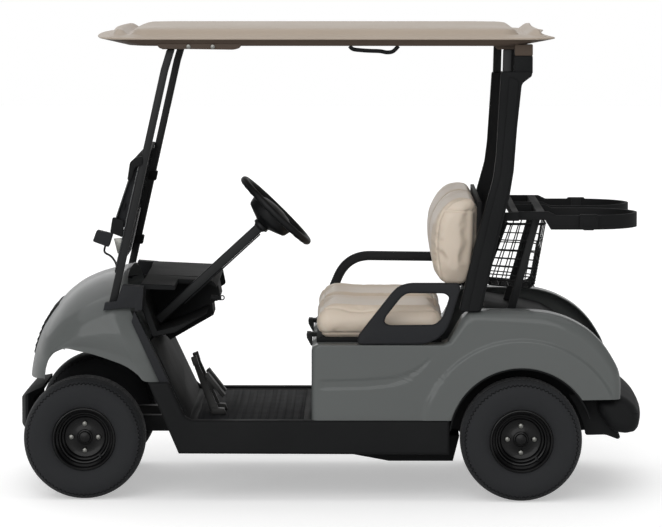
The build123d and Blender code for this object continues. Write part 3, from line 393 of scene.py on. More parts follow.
def mottledTone(tree, place, scale, dark, light):
    # two close tones in large soft patches
    patches = addNode(tree, "ShaderNodeTexNoise", {"Scale": scale, "Detail": 4.0},
                      {"Vector": (place, "Object")})
    tone = addNode(tree, "ShaderNodeMix", {"data_type": "RGBA", 6: paint(dark), 7: paint(light)},
                   {0: (patches, "Fac")})
    return patches, tone


def grainedSurface(name, light, dark, patch, grainSize, rough, relief, depth, specular, more=None):
    # mottled tone, and a fine grain that breaks the gloss
    tree = newMaterial(name).node_tree
    place = addNode(tree, "ShaderNodeTexCoord")
    patches, tone = mottledTone(tree, place, 1 / patch, dark, light)
    grain = addNode(tree, "ShaderNodeTexNoise", {"Scale": 1 / grainSize, "Detail": 3.0, "Roughness": 0.6},
                    {"Vector": (place, "Object")})
    gloss = addNode(tree, "ShaderNodeMapRange",
                    {"From Min": 0.3, "From Max": 0.7, "To Min": rough[0], "To Max": rough[1]},
                    {"Value": (patches, "Fac")})
    bump = addNode(tree, "ShaderNodeBump", {"Strength": relief, "Distance": depth},
                   {"Height": (grain, "Fac")})
    addSurface(tree, {"Specular IOR Level": specular, **(more or {})},
               {"Base Color": (tone, 2), "Roughness": (gloss, "Result"), "Normal": (bump, "Normal")})


def marineVinyl():
    # expanded vinyl on foam: stone colour, leather grain about 2 mm across drawn as shallow cells, soft sheen
    tree = newMaterial("marineVinyl").node_tree
    place = addNode(tree, "ShaderNodeTexCoord")
    patches, tone = mottledTone(tree, place, 9.0, "#d3c4b2", "#dfd0be")
    cells = addNode(tree, "ShaderNodeTexVoronoi", {"Scale": 420.0, "feature": "F1"},
                    {"Vector": (place, "Object")})
    gloss = addNode(tree, "ShaderNodeMapRange", {"To Min": 0.38, "To Max": 0.5}, {"Value": (patches, "Fac")})
    bump = addNode(tree, "ShaderNodeBump", {"Strength": 0.22, "Distance": 0.0004},
                   {"Height": (cells, "Distance")})
    addSurface(tree, {"IOR": 1.53, "Sheen Weight": 0.12, "Sheen Roughness": 0.5, "Subsurface Weight": 0.04,
                      "Subsurface Scale": 0.004},
               {"Base Color": (tone, 2), "Roughness": (gloss, "Result"), "Normal": (bump, "Normal")})


def smokedAcrylic():
    # cast acrylic sheet with a light smoke tint; fine wiping haze in the gloss
    tree = newMaterial("smokedAcrylic").node_tree
    place = addNode(tree, "ShaderNodeTexCoord")
    haze = addNode(tree, "ShaderNodeTexNoise", {"Scale": 25.0, "Detail": 3.0}, {"Vector": (place, "Object")})
    gloss = addNode(tree, "ShaderNodeMapRange", {"To Min": 0.03, "To Max": 0.1}, {"Value": (haze, "Fac")})
    addSurface(tree, {"Base Color": paint("#4c4f51"), "Transmission Weight": 0.7, "IOR": 1.49,
                      "Specular IOR Level": 0.3}, {"Roughness": (gloss, "Result")})


grainedSurfaces = [
    # name, light tone, dark tone, patch size, grain size, roughness from and to, relief, depth,
    # specular level, and what else the shader is given
    # enamel on moulded panels: mid grey, satin under a thin clear coat
    ("bodyEnamel", "#606362", "#585b5a", 0.5, 0.0016, (0.48, 0.56), 0.05, 0.0002, 0.2,
     {"Coat Weight": 0.28, "Coat Roughness": 0.04, "Coat IOR": 1.5}),
    # vacuum-formed ABS sheet: sand colour, satin, a faint haircell grain
    ("roofAbs", "#b5a798", "#ac9e8f", 0.4, 0.0025, (0.42, 0.5), 0.12, 0.0004, 0.3, {"IOR": 1.54}),
    # underside of the same sheet, unpolished; its darker brown is painted shade, standing in for the shadow
    # under the roof
    ("roofPaintedShade", "#54483e", "#4a3f37", 0.4, 0.0025, (0.6, 0.7), 0.15, 0.0004, 0.2, {"IOR": 1.54}),
    # injection-moulded polypropylene: near black, spark-eroded grain that scatters the light
    ("blackPolypropylene", "#141516", "#0f1011", 0.25, 0.0022, (0.68, 0.8), 0.25, 0.0004, 0.22,
     {"IOR": 1.49}),
    # the same plastic with less carbon black: the charcoal side mouldings and the armrests
    ("charcoalPolypropylene", "#26272a", "#1f2022", 0.25, 0.0022, (0.65, 0.78), 0.25, 0.0004, 0.25,
     {"IOR": 1.49}),
    # polyester powder coat on steel tube: black, slight orange peel
    ("powderCoat", "#1b1c1d", "#151617", 0.3, 0.004, (0.5, 0.6), 0.18, 0.0004, 0.3),
    # vulcanised rubber with carbon black: matt, dusty grey where the light grazes it
    ("tyreRubber", "#2b2c2e", "#1f2022", 0.06, 0.003, (0.72, 0.85), 0.25, 0.0006, 0.25,
     {"IOR": 1.52, "Sheen Weight": 0.08, "Sheen Roughness": 0.4}),
    # black stoved enamel on the pressed wheels, satin
    ("wheelEnamel", "#0b0b0c", "#070708", 0.2, 0.003, (0.32, 0.42), 0.05, 0.0003, 0.18,
     {"Coat Weight": 0.12, "Coat Roughness": 0.1}),
    # zinc-plated steel: lug nuts, bolts and pins, slightly clouded
    ("zincPlate", "#8a8a86", "#6e6e6a", 0.01, 0.0008, (0.25, 0.4), 0.1, 0.0002, 0.5, {"Metallic": 1.0}),
    # plain painted and scaled steel of the running gear
    ("chassisPaint", "#18191a", "#0f0f10", 0.12, 0.003, (0.5, 0.7), 0.25, 0.0005, 0.25),
    # pedal steel, cast and cleared, dull grey
    ("castSteel", "#2c2c2b", "#1c1c1c", 0.05, 0.0015, (0.45, 0.6), 0.25, 0.0004, 0.5, {"Metallic": 0.6}),
    # ribbed EPDM floor mat: dark grey, chalky
    ("matRubber", "#1e1f21", "#161719", 0.1, 0.003, (0.8, 0.9), 0.4, 0.0006, 0.2),
    # polypropylene battery case, matt black
    ("batteryCase", "#161718", "#101111", 0.1, 0.003, (0.5, 0.6), 0.2, 0.0004, 0.25, {"IOR": 1.49}),
    # moulded polyurethane grip of the steering wheel
    ("gripFoam", "#121314", "#0d0e0f", 0.05, 0.0014, (0.45, 0.55), 0.35, 0.0004, 0.25),
    # woven nylon webbing of the bag straps
    ("nylonWebbing", "#191a1b", "#101112", 0.004, 0.0016, (0.6, 0.75), 0.5, 0.0008, 0.2,
     {"Sheen Weight": 0.1}),
]
for surface in grainedSurfaces:
    grainedSurface(*surface)
marineVinyl()
smokedAcrylic()
print("materials made")


# stage: white world, soft lamps, pale floor that keeps the shadow

stage = {"cameraAt": (-0.114, 15.3, 2.19), "aim": (-0.0075, 0.5, 0.889), "lens": 216.0,
         "skyLight": 0.32, "ceiling": 0.14, "floorGlow": 0.42,
         # direction the light comes from, strength, width of the source in degrees
         "suns": [("overhead", (0.1, -0.1, 1.0), 0.95, 75), ("nearSide", (0.2, 1.0, 0.5), 1.3, 50),
                  ("farSide", (0.2, -1.0, 0.6), 0.45, 55)]}


def makeCamera():
    data = bpy.data.cameras.new("camera")
    data.lens = stage["lens"]
    data.sensor_width = 36.0
    data.clip_end = 100.0
    camera = newObject("camera", data)
    camera.location = stage["cameraAt"]
    camera.rotation_euler = (Vector(stage["aim"]) - camera.location).to_track_quat("-Z", "Y").to_euler()
    bpy.context.scene.camera = camera


def makeWorld():
    world = bpy.data.worlds.new("studio")
    bpy.context.scene.world = world
    world.use_nodes = True
    tree = world.node_tree
    tree.nodes.clear()
    # white backdrop round the object that turns grey towards the ceiling, for what reflects it
    seen = addNode(tree, "ShaderNodeLightPath")
    place = addNode(tree, "ShaderNodeTexCoord")
    height = addNode(tree, "ShaderNodeSeparateXYZ", links={"Vector": (place, "Generated")})
    fade = addNode(tree, "ShaderNodeMapRange", {"From Min": 0.03, "From Max": 0.32, "To Min": 1.0,
                                                "To Max": stage["ceiling"]}, {"Value": (height, "Z")})
    direct = addNode(tree, "ShaderNodeMath", {"operation": "MAXIMUM"},
                     {0: (seen, "Is Camera Ray"), 1: (seen, "Is Transmission Ray")})
    light = addNode(tree, "ShaderNodeBackground", {"Color": (1, 1, 1, 1), "Strength": stage["skyLight"]})
    card = addNode(tree, "ShaderNodeBackground", {"Color": (1, 1, 1, 1)}, {"Strength": (fade, "Result")})
    white = addNode(tree, "ShaderNodeBackground", {"Color": (1, 1, 1, 1), "Strength": 1.0})
    shine = addNode(tree, "ShaderNodeMixShader", {}, {0: (seen, "Is Glossy Ray"), 1: (light, "Background"),
                                                      2: (card, "Background")})
    mixed = addNode(tree, "ShaderNodeMixShader", {}, {0: (direct, "Value"), 1: (shine, "Shader"),
                                                      2: (white, "Background")})
    addNode(tree, "ShaderNodeOutputWorld", links={"Surface": (mixed, "Shader")})


def makeFloor():
    deselectAll()
    bpy.ops.mesh.primitive_plane_add(size=60)
    floor = bpy.context.object
    floor.name = "floor"
    material = newMaterial("paleFloor")
    tree = material.node_tree
    seen = addNode(tree, "ShaderNodeLightPath")
    lit = addNode(tree, "ShaderNodeBsdfDiffuse", {"Color": (0.8, 0.8, 0.8, 1)})
    glow = addNode(tree, "ShaderNodeEmission", {"Color": (1, 1, 1, 1), "Strength": stage["floorGlow"]})
    both = addNode(tree, "ShaderNodeAddShader", {}, {0: (lit, "BSDF"), 1: (glow, "Emission")})
    mixed = addNode(tree, "ShaderNodeMixShader", {}, {0: (seen, "Is Camera Ray"), 1: (lit, "BSDF"),
                                                      2: (both, "Shader")})
    addNode(tree, "ShaderNodeOutputMaterial", links={"Surface": (mixed, "Shader")})
    floor.data.materials.append(material)


def makeSun(name, toward, strength, width):
    data = bpy.data.lights.new(name, "SUN")
    data.energy = strength
    data.angle = radians(width)
    lamp = newObject(name, data)
    lamp.rotation_euler = Vector(toward).to_track_quat("Z", "Y").to_euler()


makeCamera()
makeWorld()
makeFloor()
for sun in stage["suns"]:
    makeSun(*sun)
bpy.context.scene.view_settings.view_transform = "Standard"
print("stage made")


# wheels

tyreShape = {
    "steps": 320, "rows": 52, "waves": 80, "reach": 4.2, "grooveDepth": 0.007,
    # radius, distance from the middle plane, from the bead out to the tread's middle
    "section": mm([(117.5, 79.5), (122, 88), (132, 95.5), (145, 100.5), (160, 103.5), (176, 104.5),
                   (190, 103), (202, 98.5), (212, 91.5), (220, 81.5), (225.5, 68), (227.8, 50), (228.4, 30),
                   (228.5, 0)]),
    # share of the way from bead to bead, and the share that one millimetre is there
    "grooves": [(0.302, 0.00315), (0.419, 0.00214), (0.478, 0.00128),
                (0.522, 0.00128), (0.581, 0.00214), (0.698, 0.00315)],
    "cut": [(-3.0, 0), (-2.0, 1), (2.0, 1), (3.0, 0)],
}
rimShape = {
    # radius, distance outward from the middle plane, from the outer flange to the cap's middle
    "face": mm([(117.2, 79), (118.2, 83.5), (116.5, 88), (113.5, 88.5), (110.5, 86.5), (108.5, 81),
                (106, 66), (102, 63), (98.5, 60), (97.5, 50), (95, 46), (90.5, 44.5), (88.5, 42), (87, 30),
                (85, 26.5), (80, 24.5), (77, 21.5), (74.5, 16.5), (71.5, 15), (52, 14.5), (38, 15),
                (29, 18), (26.5, 21.5), (22.5, 22.5), (22.2, 30), (19.5, 34.5), (12, 36.8), (0, 37.5)]),
    # the hidden side of the same pressing
    "back": mm([(117.2, -79), (118.2, -83.5), (116.5, -88), (113.5, -88.5), (108.5, -80), (100, -66),
                (98.5, 0), (96, 10), (70, 9), (42, 9), (41, -18), (14, -19)]),
    "steps": 96, "nutCircle": 0.0508, "nutRadius": 0.0098,
    "nutFrom": 0.014, "nutTo": 0.0285, "studTo": 0.0315,
    "valve": mm([(-56, 40, -66), (-60, 66, -71)]), "valveRadius": 0.0042,
}


def tyreRows():
    # share of the way from bead to bead, depth and zigzag of each ring of points
    grooves, count = tyreShape["grooves"], tyreShape["rows"]
    rows = [(i / count, 0, 0) for i in range(count + 1)]
    rows = [row for row in rows if all(abs(row[0] - spot) > 8 * share for spot, share in grooves)]
    for spot, share in grooves:
        for across, deep in tyreShape["cut"]:
            rows.append((spot + across * share, deep * tyreShape["grooveDepth"], share * tyreShape["reach"]))
    return sorted(rows)


def tyreMesh(name, middle):
    half = tyreShape["section"]
    line = half + [(r, -w) for r, w in reversed(half[:-1])]
    rows = tyreRows()

    def place(u, v):
        spot, depth, reach = rows[round(v * (len(rows) - 1))]
        spot += reach * (abs((u * tyreShape["waves"]) % 1 - 0.5) * 4 - 1)
        radius, side = trackAt(line, spot)
        ahead, behind = trackAt(line, spot + 0.004), trackAt(line, spot - 0.004)
        run = Vector((ahead[0] - behind[0], ahead[1] - behind[1])).normalized()
        turn = 2 * pi * u
        radius += run.y * depth
        side -= run.x * depth
        return (middle.x + radius * sin(turn), middle.y + side, middle.z + radius * cos(turn))

    piece = gridPiece(name, tyreShape["steps"], len(rows) - 1, place)
    smoothShade(piece, 40)
    return piece


def rimMesh(name, middle):
    def lathe(part):
        rows = rimShape[part]

        def place(u, v):
            radius, side = rows[round(v * (len(rows) - 1))]
            return (middle.x + radius * sin(2 * pi * u), middle.y + side, middle.z + radius * cos(2 * pi * u))

        return gridPiece(part, rimShape["steps"], len(rows) - 1, place)

    piece = joinPieces(name, [lathe("face"), lathe("back")])
    smoothShade(piece, 32)
    return piece


def nutSet(name, middle):
    shape, made = rimShape, []
    for turn in (0, 90, 180, 270):
        x = middle.x + shape["nutCircle"] * sin(radians(turn))
        z = middle.z + shape["nutCircle"] * cos(radians(turn))
        base, crown, tip = [(x, middle.y + shape[key], z) for key in ("nutFrom", "nutTo", "studTo")]
        made.append(roundPiece("nut", base, crown, shape["nutRadius"], 6, 0.0018))
        made.append(roundPiece("stud", crown, tip, shape["nutRadius"] * 0.55, 16, 0.0008))
    return joinPieces(name, made)


def valveStem(name, middle):
    root, tip = [middle + Vector(place) for place in rimShape["valve"]]
    return roundPiece(name, root, tip, rimShape["valveRadius"], 12, 0.0012)


def buildWheels():
    # the first wheel is modelled, the others are copies of it, mirrored on the right
    first, start = {}, None
    for where in ("front", "rear"):
        for side in ("left", "right"):
            low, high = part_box(f"tyre_{where}_{side}")
            middle = (low + high) / 2
            label, body = where + side.title(), f"wheel_{where}_{side}"
            if not first:
                start = middle
                first = {"tyre": tyreMesh("tyre" + label, middle), "rim": rimMesh("rim" + label, middle),
                         "nuts": nutSet("nuts" + label, middle), "valve": valveStem("valve" + label, middle)}
                pieces = first
            else:
                flip = side == "right"
                base = Vector((start.x, -start.y, start.z)) if flip else start
                pieces = {part: movedCopy(piece, part + label, middle - base, flip)
                          for part, piece in first.items()}
            setPiece(pieces["tyre"], "tyre", f"tyre_{where}_{side}", body=body)
            setPiece(pieces["rim"], "wheel_steel", f"rim_{where}_{side}", body=body)
            setPiece(pieces["nuts"], "wheel_steel", body=body, finish="zincPlate")
            setPiece(pieces["valve"], "tyre", body=body)


buildWheels()
print("wheels made")


# front cowl: one smooth skin from the windscreen to the nose, with a crease above the wheel

cowlShape = {
    # centre x, z; crease x, z, y; lip x, z, y: from the windscreen forward and down to the nose
    "stations": [
        (0.768, 0.838, 0.742, 0.716, 0.538, 0.627, 0.447, 0.543),
        (0.831, 0.821, 0.8, 0.706, 0.556, 0.688, 0.452, 0.562),
        (0.88, 0.808, 0.826, 0.7, 0.558, 0.716, 0.478, 0.562),
        (0.92, 0.793, 0.858, 0.69, 0.56, 0.76, 0.509, 0.562),
        (0.955, 0.776, 0.89, 0.677, 0.56, 0.82, 0.533, 0.562),
        (0.985, 0.756, 0.92, 0.661, 0.56, 0.881, 0.553, 0.562),
        (1.02, 0.726, 0.95, 0.637, 0.558, 0.935, 0.565, 0.56),
        (1.054, 0.686, 0.98, 0.606, 0.552, 0.984, 0.574, 0.556),
        (1.078, 0.65, 1.006, 0.584, 0.546, 1.022, 0.562, 0.548),
        (1.097, 0.617, 1.032, 0.558, 0.538, 1.046, 0.545, 0.54),
        (1.114, 0.574, 1.052, 0.532, 0.528, 1.058, 0.52, 0.53),
        (1.128, 0.528, 1.062, 0.504, 0.518, 1.064, 0.496, 0.52),
        (1.138, 0.48, 1.068, 0.478, 0.508, 1.068, 0.472, 0.51),
        (1.143, 0.443, 1.07, 0.458, 0.5, 1.07, 0.454, 0.502),
    ],
    "power": 0.78, "crownEnd": 76, "crownShare": 0.74, "bulge": 0.01, "wall": 0.004,
}


def cowlPoint(along, across):
    # along 0 at the windscreen, 1 at the nose; across 0 on the centre line, 1 at the wheel arch's lip
    cx, cz, ex, ez, ey, lx, lz, ly = trackAt(cowlShape["stations"], along)
    share, power = cowlShape["crownShare"], cowlShape["power"]
    reach = abs(across)
    if reach <= share:
        end = radians(cowlShape["crownEnd"])
        turn = end * reach / share
        y = ey * (sin(turn) / sin(end)) ** power
        fall = (1 - cos(turn) ** power) / (1 - cos(end) ** power)
        point = [cx + (ex - cx) * fall, y, cz + (ez - cz) * fall]
    else:
        t = (reach - share) / (1 - share)
        bulge = cowlShape["bulge"] * sin(pi * min(t * 1.3, 1)) * min(1, hypot(lx - ex, lz - ez) / 0.1)
        point = [ex + (lx - ex) * t, ey + (ly - ey) * t + bulge, ez + (lz - ez) * t]
    return Vector((point[0], point[1] if across >= 0 else -point[1], point[2]))


def buildCowl():
    piece = gridPiece("cowl", 132, 104, lambda u, v: cowlPoint(v, 2 * u - 1))
    if sum(polygon.normal.z for polygon in piece.data.polygons) < 0:
        flipFaces(piece)
    applyModifier(piece, "SOLIDIFY", thickness=cowlShape["wall"], offset=-1)
    smoothShade(piece, 30)
    setPiece(piece, "body_paint", "front_cowl")


grilleShape = {"low": 0.49, "high": 0.88, "half": 0.125, "ribs": 10,
               "proud": 0.007, "ribDepth": 0.006, "wall": 0.003}


def buildGrille():
    # dark ribbed insert in the nose, laid on the cowl's skin
    def place(u, v):
        across = (2 * u - 1) * grilleShape["half"]
        along = grilleShape["low"] + (grilleShape["high"] - grilleShape["low"]) * v
        point = cowlPoint(along, across)
        normal = (cowlPoint(along + 0.01, across) - point).cross(
            cowlPoint(along, across + 0.01) - point).normalized()
        if normal.x < 0:
            normal = -normal
        edge = min(smoothStep(min(u, 1 - u), 0, 0.03), smoothStep(min(v, 1 - v), 0, 0.06))
        rib = 0.5 + 0.5 * cos(2 * pi * v * grilleShape["ribs"])
        inside = smoothStep(min(u, 1 - u), 0.04, 0.06) * smoothStep(min(v, 1 - v), 0.05, 0.08)
        lift = grilleShape["proud"] * (edge - 0.25) - grilleShape["ribDepth"] * rib * inside + 0.002 * inside
        return point + normal * lift

    piece = gridPiece("noseInsert", 40, 120, place)
    applyModifier(piece, "SOLIDIFY", thickness=grilleShape["wall"], offset=-1)
    smoothShade(piece, 35)
    setPiece(piece, "black_plastic", "nose_grille")


buildCowl()
buildGrille()
print("cowl made")


# rear body: side panels with the wheel flare, the front riser and the seat deck in one moulding

rearShape = {
    "wheelX": -0.72, "wheelZ": 0.2285, "arch": 0.273, "side": 0.57, "flare": 0.372,
    "step": 0.007, "wall": 0.004,
    # outline x, z; angle of the arch's lip in degrees; crown radius; inner y; columns to the next row
    "outline": [
        (0.065, 0.3053, 16.4, 0.022, 0.0, 66), (0.065, 0.566, 40.0, 0.022, 0.0, 4),
        (0.0585, 0.583, 42.0, 0.02, 0.0, 4),
        (0.04, 0.59, 44.0, 0.014, 0.0, 1), (0.036, 0.59, 44.3, 0.014, 0.41, 40),
        (-0.425, 0.59, 72.0, 0.014, 0.41, 4),
        (-0.446, 0.599, 75.0, 0.018, 0.41, 14), (-0.497, 0.688, 84.0, 0.03, 0.432, 5),
        (-0.52, 0.7085, 87.0, 0.036, 0.432, 5), (-0.55, 0.713, 89.0, 0.04, 0.432, 14),
        (-0.7, 0.7135, 99.0, 0.042, 0.432, 8), (-0.8, 0.709, 106.0, 0.044, 0.432, 6),
        (-0.87, 0.693, 112.0, 0.046, 0.432, 6), (-0.925, 0.669, 117.0, 0.046, 0.432, 6),
        (-0.975, 0.637, 122.5, 0.046, 0.432, 6), (-1.024, 0.589, 129.0, 0.044, 0.432, 6),
        (-1.06, 0.537, 134.0, 0.042, 0.432, 6), (-1.082, 0.493, 138.0, 0.04, 0.432, 6),
        (-1.091, 0.445, 141.5, 0.036, 0.432, 6), (-1.089, 0.386, 145.5, 0.03, 0.432, 0),
    ],
    # raised line's two edges, x, z, from the front back
    "bandTop": mm([(34, 455), (-135, 460), (-246, 469), (-314, 493), (-345, 515), (-400, 566)]),
    "bandLow": [(0.034, 0.422), (-0.135, 0.426), (-0.228, 0.435), (-0.29, 0.454),
                (-0.339, 0.4936), (-0.4, 0.55)],
    "bandStep": 0.0035, "sideRows": 50, "crownRows": 9, "topRows": 7, "curveFrom": 9,
}


def heightOn(line, x):
    for (x1, z1), (x2, z2) in zip(line, line[1:]):
        if x2 <= x <= x1:
            t = (x1 - x) / (x1 - x2)
            return z1 + (z2 - z1) * t
    return None


def sideDepth(x, z):
    # how far the panel lies inside the flare around the wheel
    away = hypot(x - rearShape["wheelX"], z - rearShape["wheelZ"])
    depth = rearShape["step"] * smoothStep(away, rearShape["flare"], rearShape["flare"] + 0.012)
    top, low = heightOn(rearShape["bandTop"], x), heightOn(rearShape["bandLow"], x)
    if top is not None and low is not None:
        inside = smoothStep(z, low - 0.002, low + 0.003) * (1 - smoothStep(z, top - 0.003, top + 0.002))
        ends = smoothStep(x, -0.4, -0.33) * smoothStep(0.034 - x, 0, 0.004)
        depth += rearShape["bandStep"] * inside * ends
    return depth


def rearColumns():
    rows = rearShape["outline"]
    columns = []
    for i, row in enumerate(rows[:-1]):
        # straight from row to row as far as the top's front end, a smooth curve behind it
        for k in range(row[5]):
            t = k / row[5]
            if i < rearShape["curveFrom"] or abs(row[4] - rows[i + 1][4]) > 0.3:
                columns.append([a + (b - a) * t for a, b in zip(row[:5], rows[i + 1][:5])])
            else:
                columns.append(trackAt([r[:5] for r in rows[8:]], (i - 8 + t) / (len(rows) - 9)))
    columns.append(list(rows[-1][:5]))
    return columns


def buildRearSide():
    columns = rearColumns()
    sideRows, crownRows, topRows = rearShape["sideRows"], rearShape["crownRows"], rearShape["topRows"]
    total = 3 + sideRows + crownRows + topRows
    side = rearShape["side"]

    def place(u, v):
        x, z, angle, crown, innerY = columns[round(u * (len(columns) - 1))]
        row = round(v * total)
        lip = Vector((rearShape["wheelX"] + rearShape["arch"] * cos(radians(angle)),
                      rearShape["wheelZ"] + rearShape["arch"] * sin(radians(angle))))
        edge = Vector((x, z))
        length = (edge - lip).length
        if row < 3:
            inset = (0.04, 0.006, 0.0018)[row]
            spot = lip + (edge - lip).normalized() * (0, 0, 0.0012)[row]
            return (spot.x, side - inset, spot.y)
        if row <= 3 + sideRows:
            t = (row - 3) / sideRows
            spot = lip + (edge - lip) * (0.004 + (length - crown - 0.004) * t) / length
            return (spot.x, side - sideDepth(spot.x, spot.y), spot.y)
        start = lip + (edge - lip) * (length - crown) / length
        depth = sideDepth(start.x, start.y)
        if row <= 3 + sideRows + crownRows:
            turn = radians(90 * (row - 3 - sideRows) / crownRows)
            spot = edge - (edge - lip).normalized() * crown * (1 - sin(turn))
            return (spot.x, side - depth - crown * (1 - cos(turn)), spot.y)
        t = (row - 3 - sideRows - crownRows) / topRows
        outer = side - depth - crown
        return (x, outer + (innerY - outer) * t, z)

    piece = gridPiece("rearSideLeft", len(columns) - 1, total, place)
    if sum(polygon.normal.y * polygon.area for polygon in piece.data.polygons) < 0:
        flipFaces(piece)
    body = joinPieces("rearBody", [piece, otherSide(piece, "rearSideRight")])
    editMesh(body, remove_doubles={"threshold": 0.0002})
    applyModifier(body, "SOLIDIFY", thickness=rearShape["wall"], offset=-1)
    smoothShade(body, 34)
    setPiece(body, "body_paint", "rear_body")


buildRearSide()
print("rear body made")


# roof: a formed sheet with a raised middle, a ridge at each end and a drip edge

roofShape = {
    "halfLength": 0.865, "halfWidth": 0.588, "middleX": 0.021, "corner": 0.115,
    # inset at the sides, inset at the ends, z
    "profile": mm([(34, 175, 1704), (28, 150, 1703.8), (24, 125, 1705), (14, 60, 1717), (6.5, 22, 1724.5),
                   (3, 7, 1727.5), (0.6, 1, 1729), (0, 0, 1730.8), (0.6, 1, 1733.5), (4, 4, 1735.2),
                   (14, 40, 1735.8), (38, 56, 1737.2), (56, 95, 1741.5), (62, 134, 1744), (68, 142, 1750),
                   (74, 148, 1759), (82, 157, 1764), (100, 175, 1767), (180, 240, 1770), (300, 400, 1773),
                   (430, 600, 1774.5)]),
    "straight": 12, "bend": 10, "wall": 0.004, "split": 1.727, "frontBow": 0.032, "rearBow": 0.026,
}


def roundedRectangle(halfX, halfY, radius, straight, bend):
    # points round a rectangle with round corners: each corner's arc, then the straight to the next one
    arcs = []
    for quarter, (signX, signY) in enumerate([(1, 1), (-1, 1), (-1, -1), (1, -1)]):
        turns = [radians(90 * quarter + 90 * step / bend) for step in range(bend + 1)]
        arcs.append([(signX * (halfX - radius) + radius * cos(turn),
                      signY * (halfY - radius) + radius * sin(turn))
                     for turn in turns])
    line = []
    for arc, following in zip(arcs, arcs[1:] + arcs[:1]):
        (x1, y1), (x2, y2) = arc[-1], following[0]
        shares = [step / straight for step in range(1, straight)]
        line += arc + [(x1 + (x2 - x1) * share, y1 + (y2 - y1) * share) for share in shares]
    return line


def roofPlan(x, y):
    # the front edge bows back towards its corners, the rear one is drawn in between them
    front = roofShape["frontBow"] * min(abs(y) / 0.47, 1.1) ** 2 * smoothStep(x, 0.66, 0.886)
    rear = roofShape["rearBow"] * (1 - min(abs(y) / 0.5, 1) ** 2) * smoothStep(-x, 0.74, 0.844)
    return x - front + rear


def buildRoof():
    shape = roofShape
    rows = shape["profile"]
    around = 4 * (shape["straight"] + shape["bend"])
    rings = []
    for side, end, _ in rows:
        radius = max(shape["corner"] - 0.6 * side, 0.05)
        rings.append(roundedRectangle(shape["halfLength"] - end, shape["halfWidth"] - side, radius,
                                      shape["straight"], shape["bend"]))

    def place(u, v):
        row = round(v * (len(rows) - 1))
        x, y = rings[row][round(u * around) % around]
        return (roofPlan(shape["middleX"] + x, y), y, rows[row][2])

    piece = gridPiece("roofPanel", around, len(rows) - 1, place)
    # the ring of points at the very top is filled with one face
    editMesh(piece, select_all={"action": "DESELECT"})
    top = rows[-1][2]
    for vertex in piece.data.vertices:
        vertex.select = abs(vertex.co.z - top) < 0.0002
    editMesh(piece, False, select_mode={"type": "VERT"}, edge_face_add={}, select_all={"action": "SELECT"},
             normals_make_consistent={"inside": False})
    crown = [polygon for polygon in piece.data.polygons if polygon.center.z > top - 0.001]
    if crown and crown[0].normal.z < 0:
        flipFaces(piece)
    # cut in two at the drip edge: the underside below it gets the darker brown that is painted shade
    flange = twinOf(piece, "roofFlange")
    for part, below in ((piece, False), (flange, True)):
        editMesh(part, select_mode={"type": "FACE"}, select_all={"action": "DESELECT"})
        for polygon in part.data.polygons:
            polygon.select = (polygon.center.z < shape["split"]) != below
        editMesh(part, False, delete={"type": "FACE"})
        applyModifier(part, "SOLIDIFY", thickness=shape["wall"], offset=-1)
        smoothShade(part, 30)
    setPiece(piece, "roof_plastic", "roof", finish="roofAbs")
    setPiece(flange, "roof_plastic")


roofRidges = [
    # name, x of the outer foot, x of the inner foot, half width, base z, height
    ("roofRidgeFront", 0.842, 0.742, 0.49, 1.737, 0.025),
    ("roofRidgeRear", -0.812, -0.724, 0.49, 1.737, 0.026),
]


def buildRidge(name, outer, inner, halfWidth, base, height):
    def place(u, v):
        y = 2 * v - 1
        rise = smoothStep(u, 0.02, 0.3) * (1 - smoothStep(u, 0.4, 1.0)) * (1 - smoothStep(abs(y), 0.84, 1.0))
        return (roofPlan(outer + (inner - outer) * u, y * halfWidth), y * halfWidth, base + height * rise)

    piece = gridPiece(name, 26, 60, place)
    if piece.data.polygons[0].normal.z < 0:
        flipFaces(piece)
    applyModifier(piece, "SOLIDIFY", thickness=0.003, offset=-1)
    smoothShade(piece, 40)
    setPiece(piece, "roof_plastic", finish="roofAbs")


# plate and bolts that hold the front struts to the roof's edge
roofMounts = {"front": mm([(640, 1712), (628, 1694), (352, 1690), (330, 1696), (322, 1712)]),
              "low": 0.545, "high": 0.572, "bolts": mm([(520, 1701.5), (430, 1701)]),
              "boltReach": (-0.002, 0.004), "boltRadius": 0.0085}


def buildRoofMounts():
    outline = rounded(roofMounts["front"], 0.012)
    for sign, label in ((1, "Left"), (-1, "Right")):
        y1, y2 = sorted((sign * roofMounts["low"], sign * roofMounts["high"]))
        plate = platePiece("roofMount" + label, outline, y1, y2, 0.003)
        # the mount plates take the roof's darker brown, which is painted shade
        setPiece(plate, "roof_plastic")
        bolts = []
        for x, z in roofMounts["bolts"]:
            start, end = [(x, sign * (roofMounts["high"] + out), z) for out in roofMounts["boltReach"]]
            bolts.append(roundPiece("bolt", start, end, roofMounts["boltRadius"], 18, 0.0015))
        setPiece(joinPieces("roofBolts" + label, bolts), "plain_steel", finish="zincPlate")


handleShape = {
    # x, z from the front back
    "path": mm([(-77, 1704), (-90, 1692), (-120, 1688), (-150, 1686), (-190, 1684.5), (-215, 1680),
                (-238, 1684), (-258, 1704)]),
    "side": 0.556, "radius": 0.0075, "steps": 36,
}


def buildHandles():
    # grab handle under each roof side
    shape = handleShape
    for sign, label in ((1, "Left"), (-1, "Right")):
        points = [(x, sign * shape["side"], z) for x, z in shape["path"]]
        path = [trackAt(points, i / shape["steps"]) for i in range(shape["steps"] + 1)]
        handle = tubePiece("grabHandle" + label, path, shape["radius"], sides=4)
        setPiece(handle, "black_plastic", *(("grab_handles",) if sign > 0 else ()))


buildRoof()
for ridge in roofRidges:
    buildRidge(*ridge)
buildRoofMounts()
buildHandles()
print("roof made")


# cushions: foam blocks swelled as cloth, with the seams pressed in

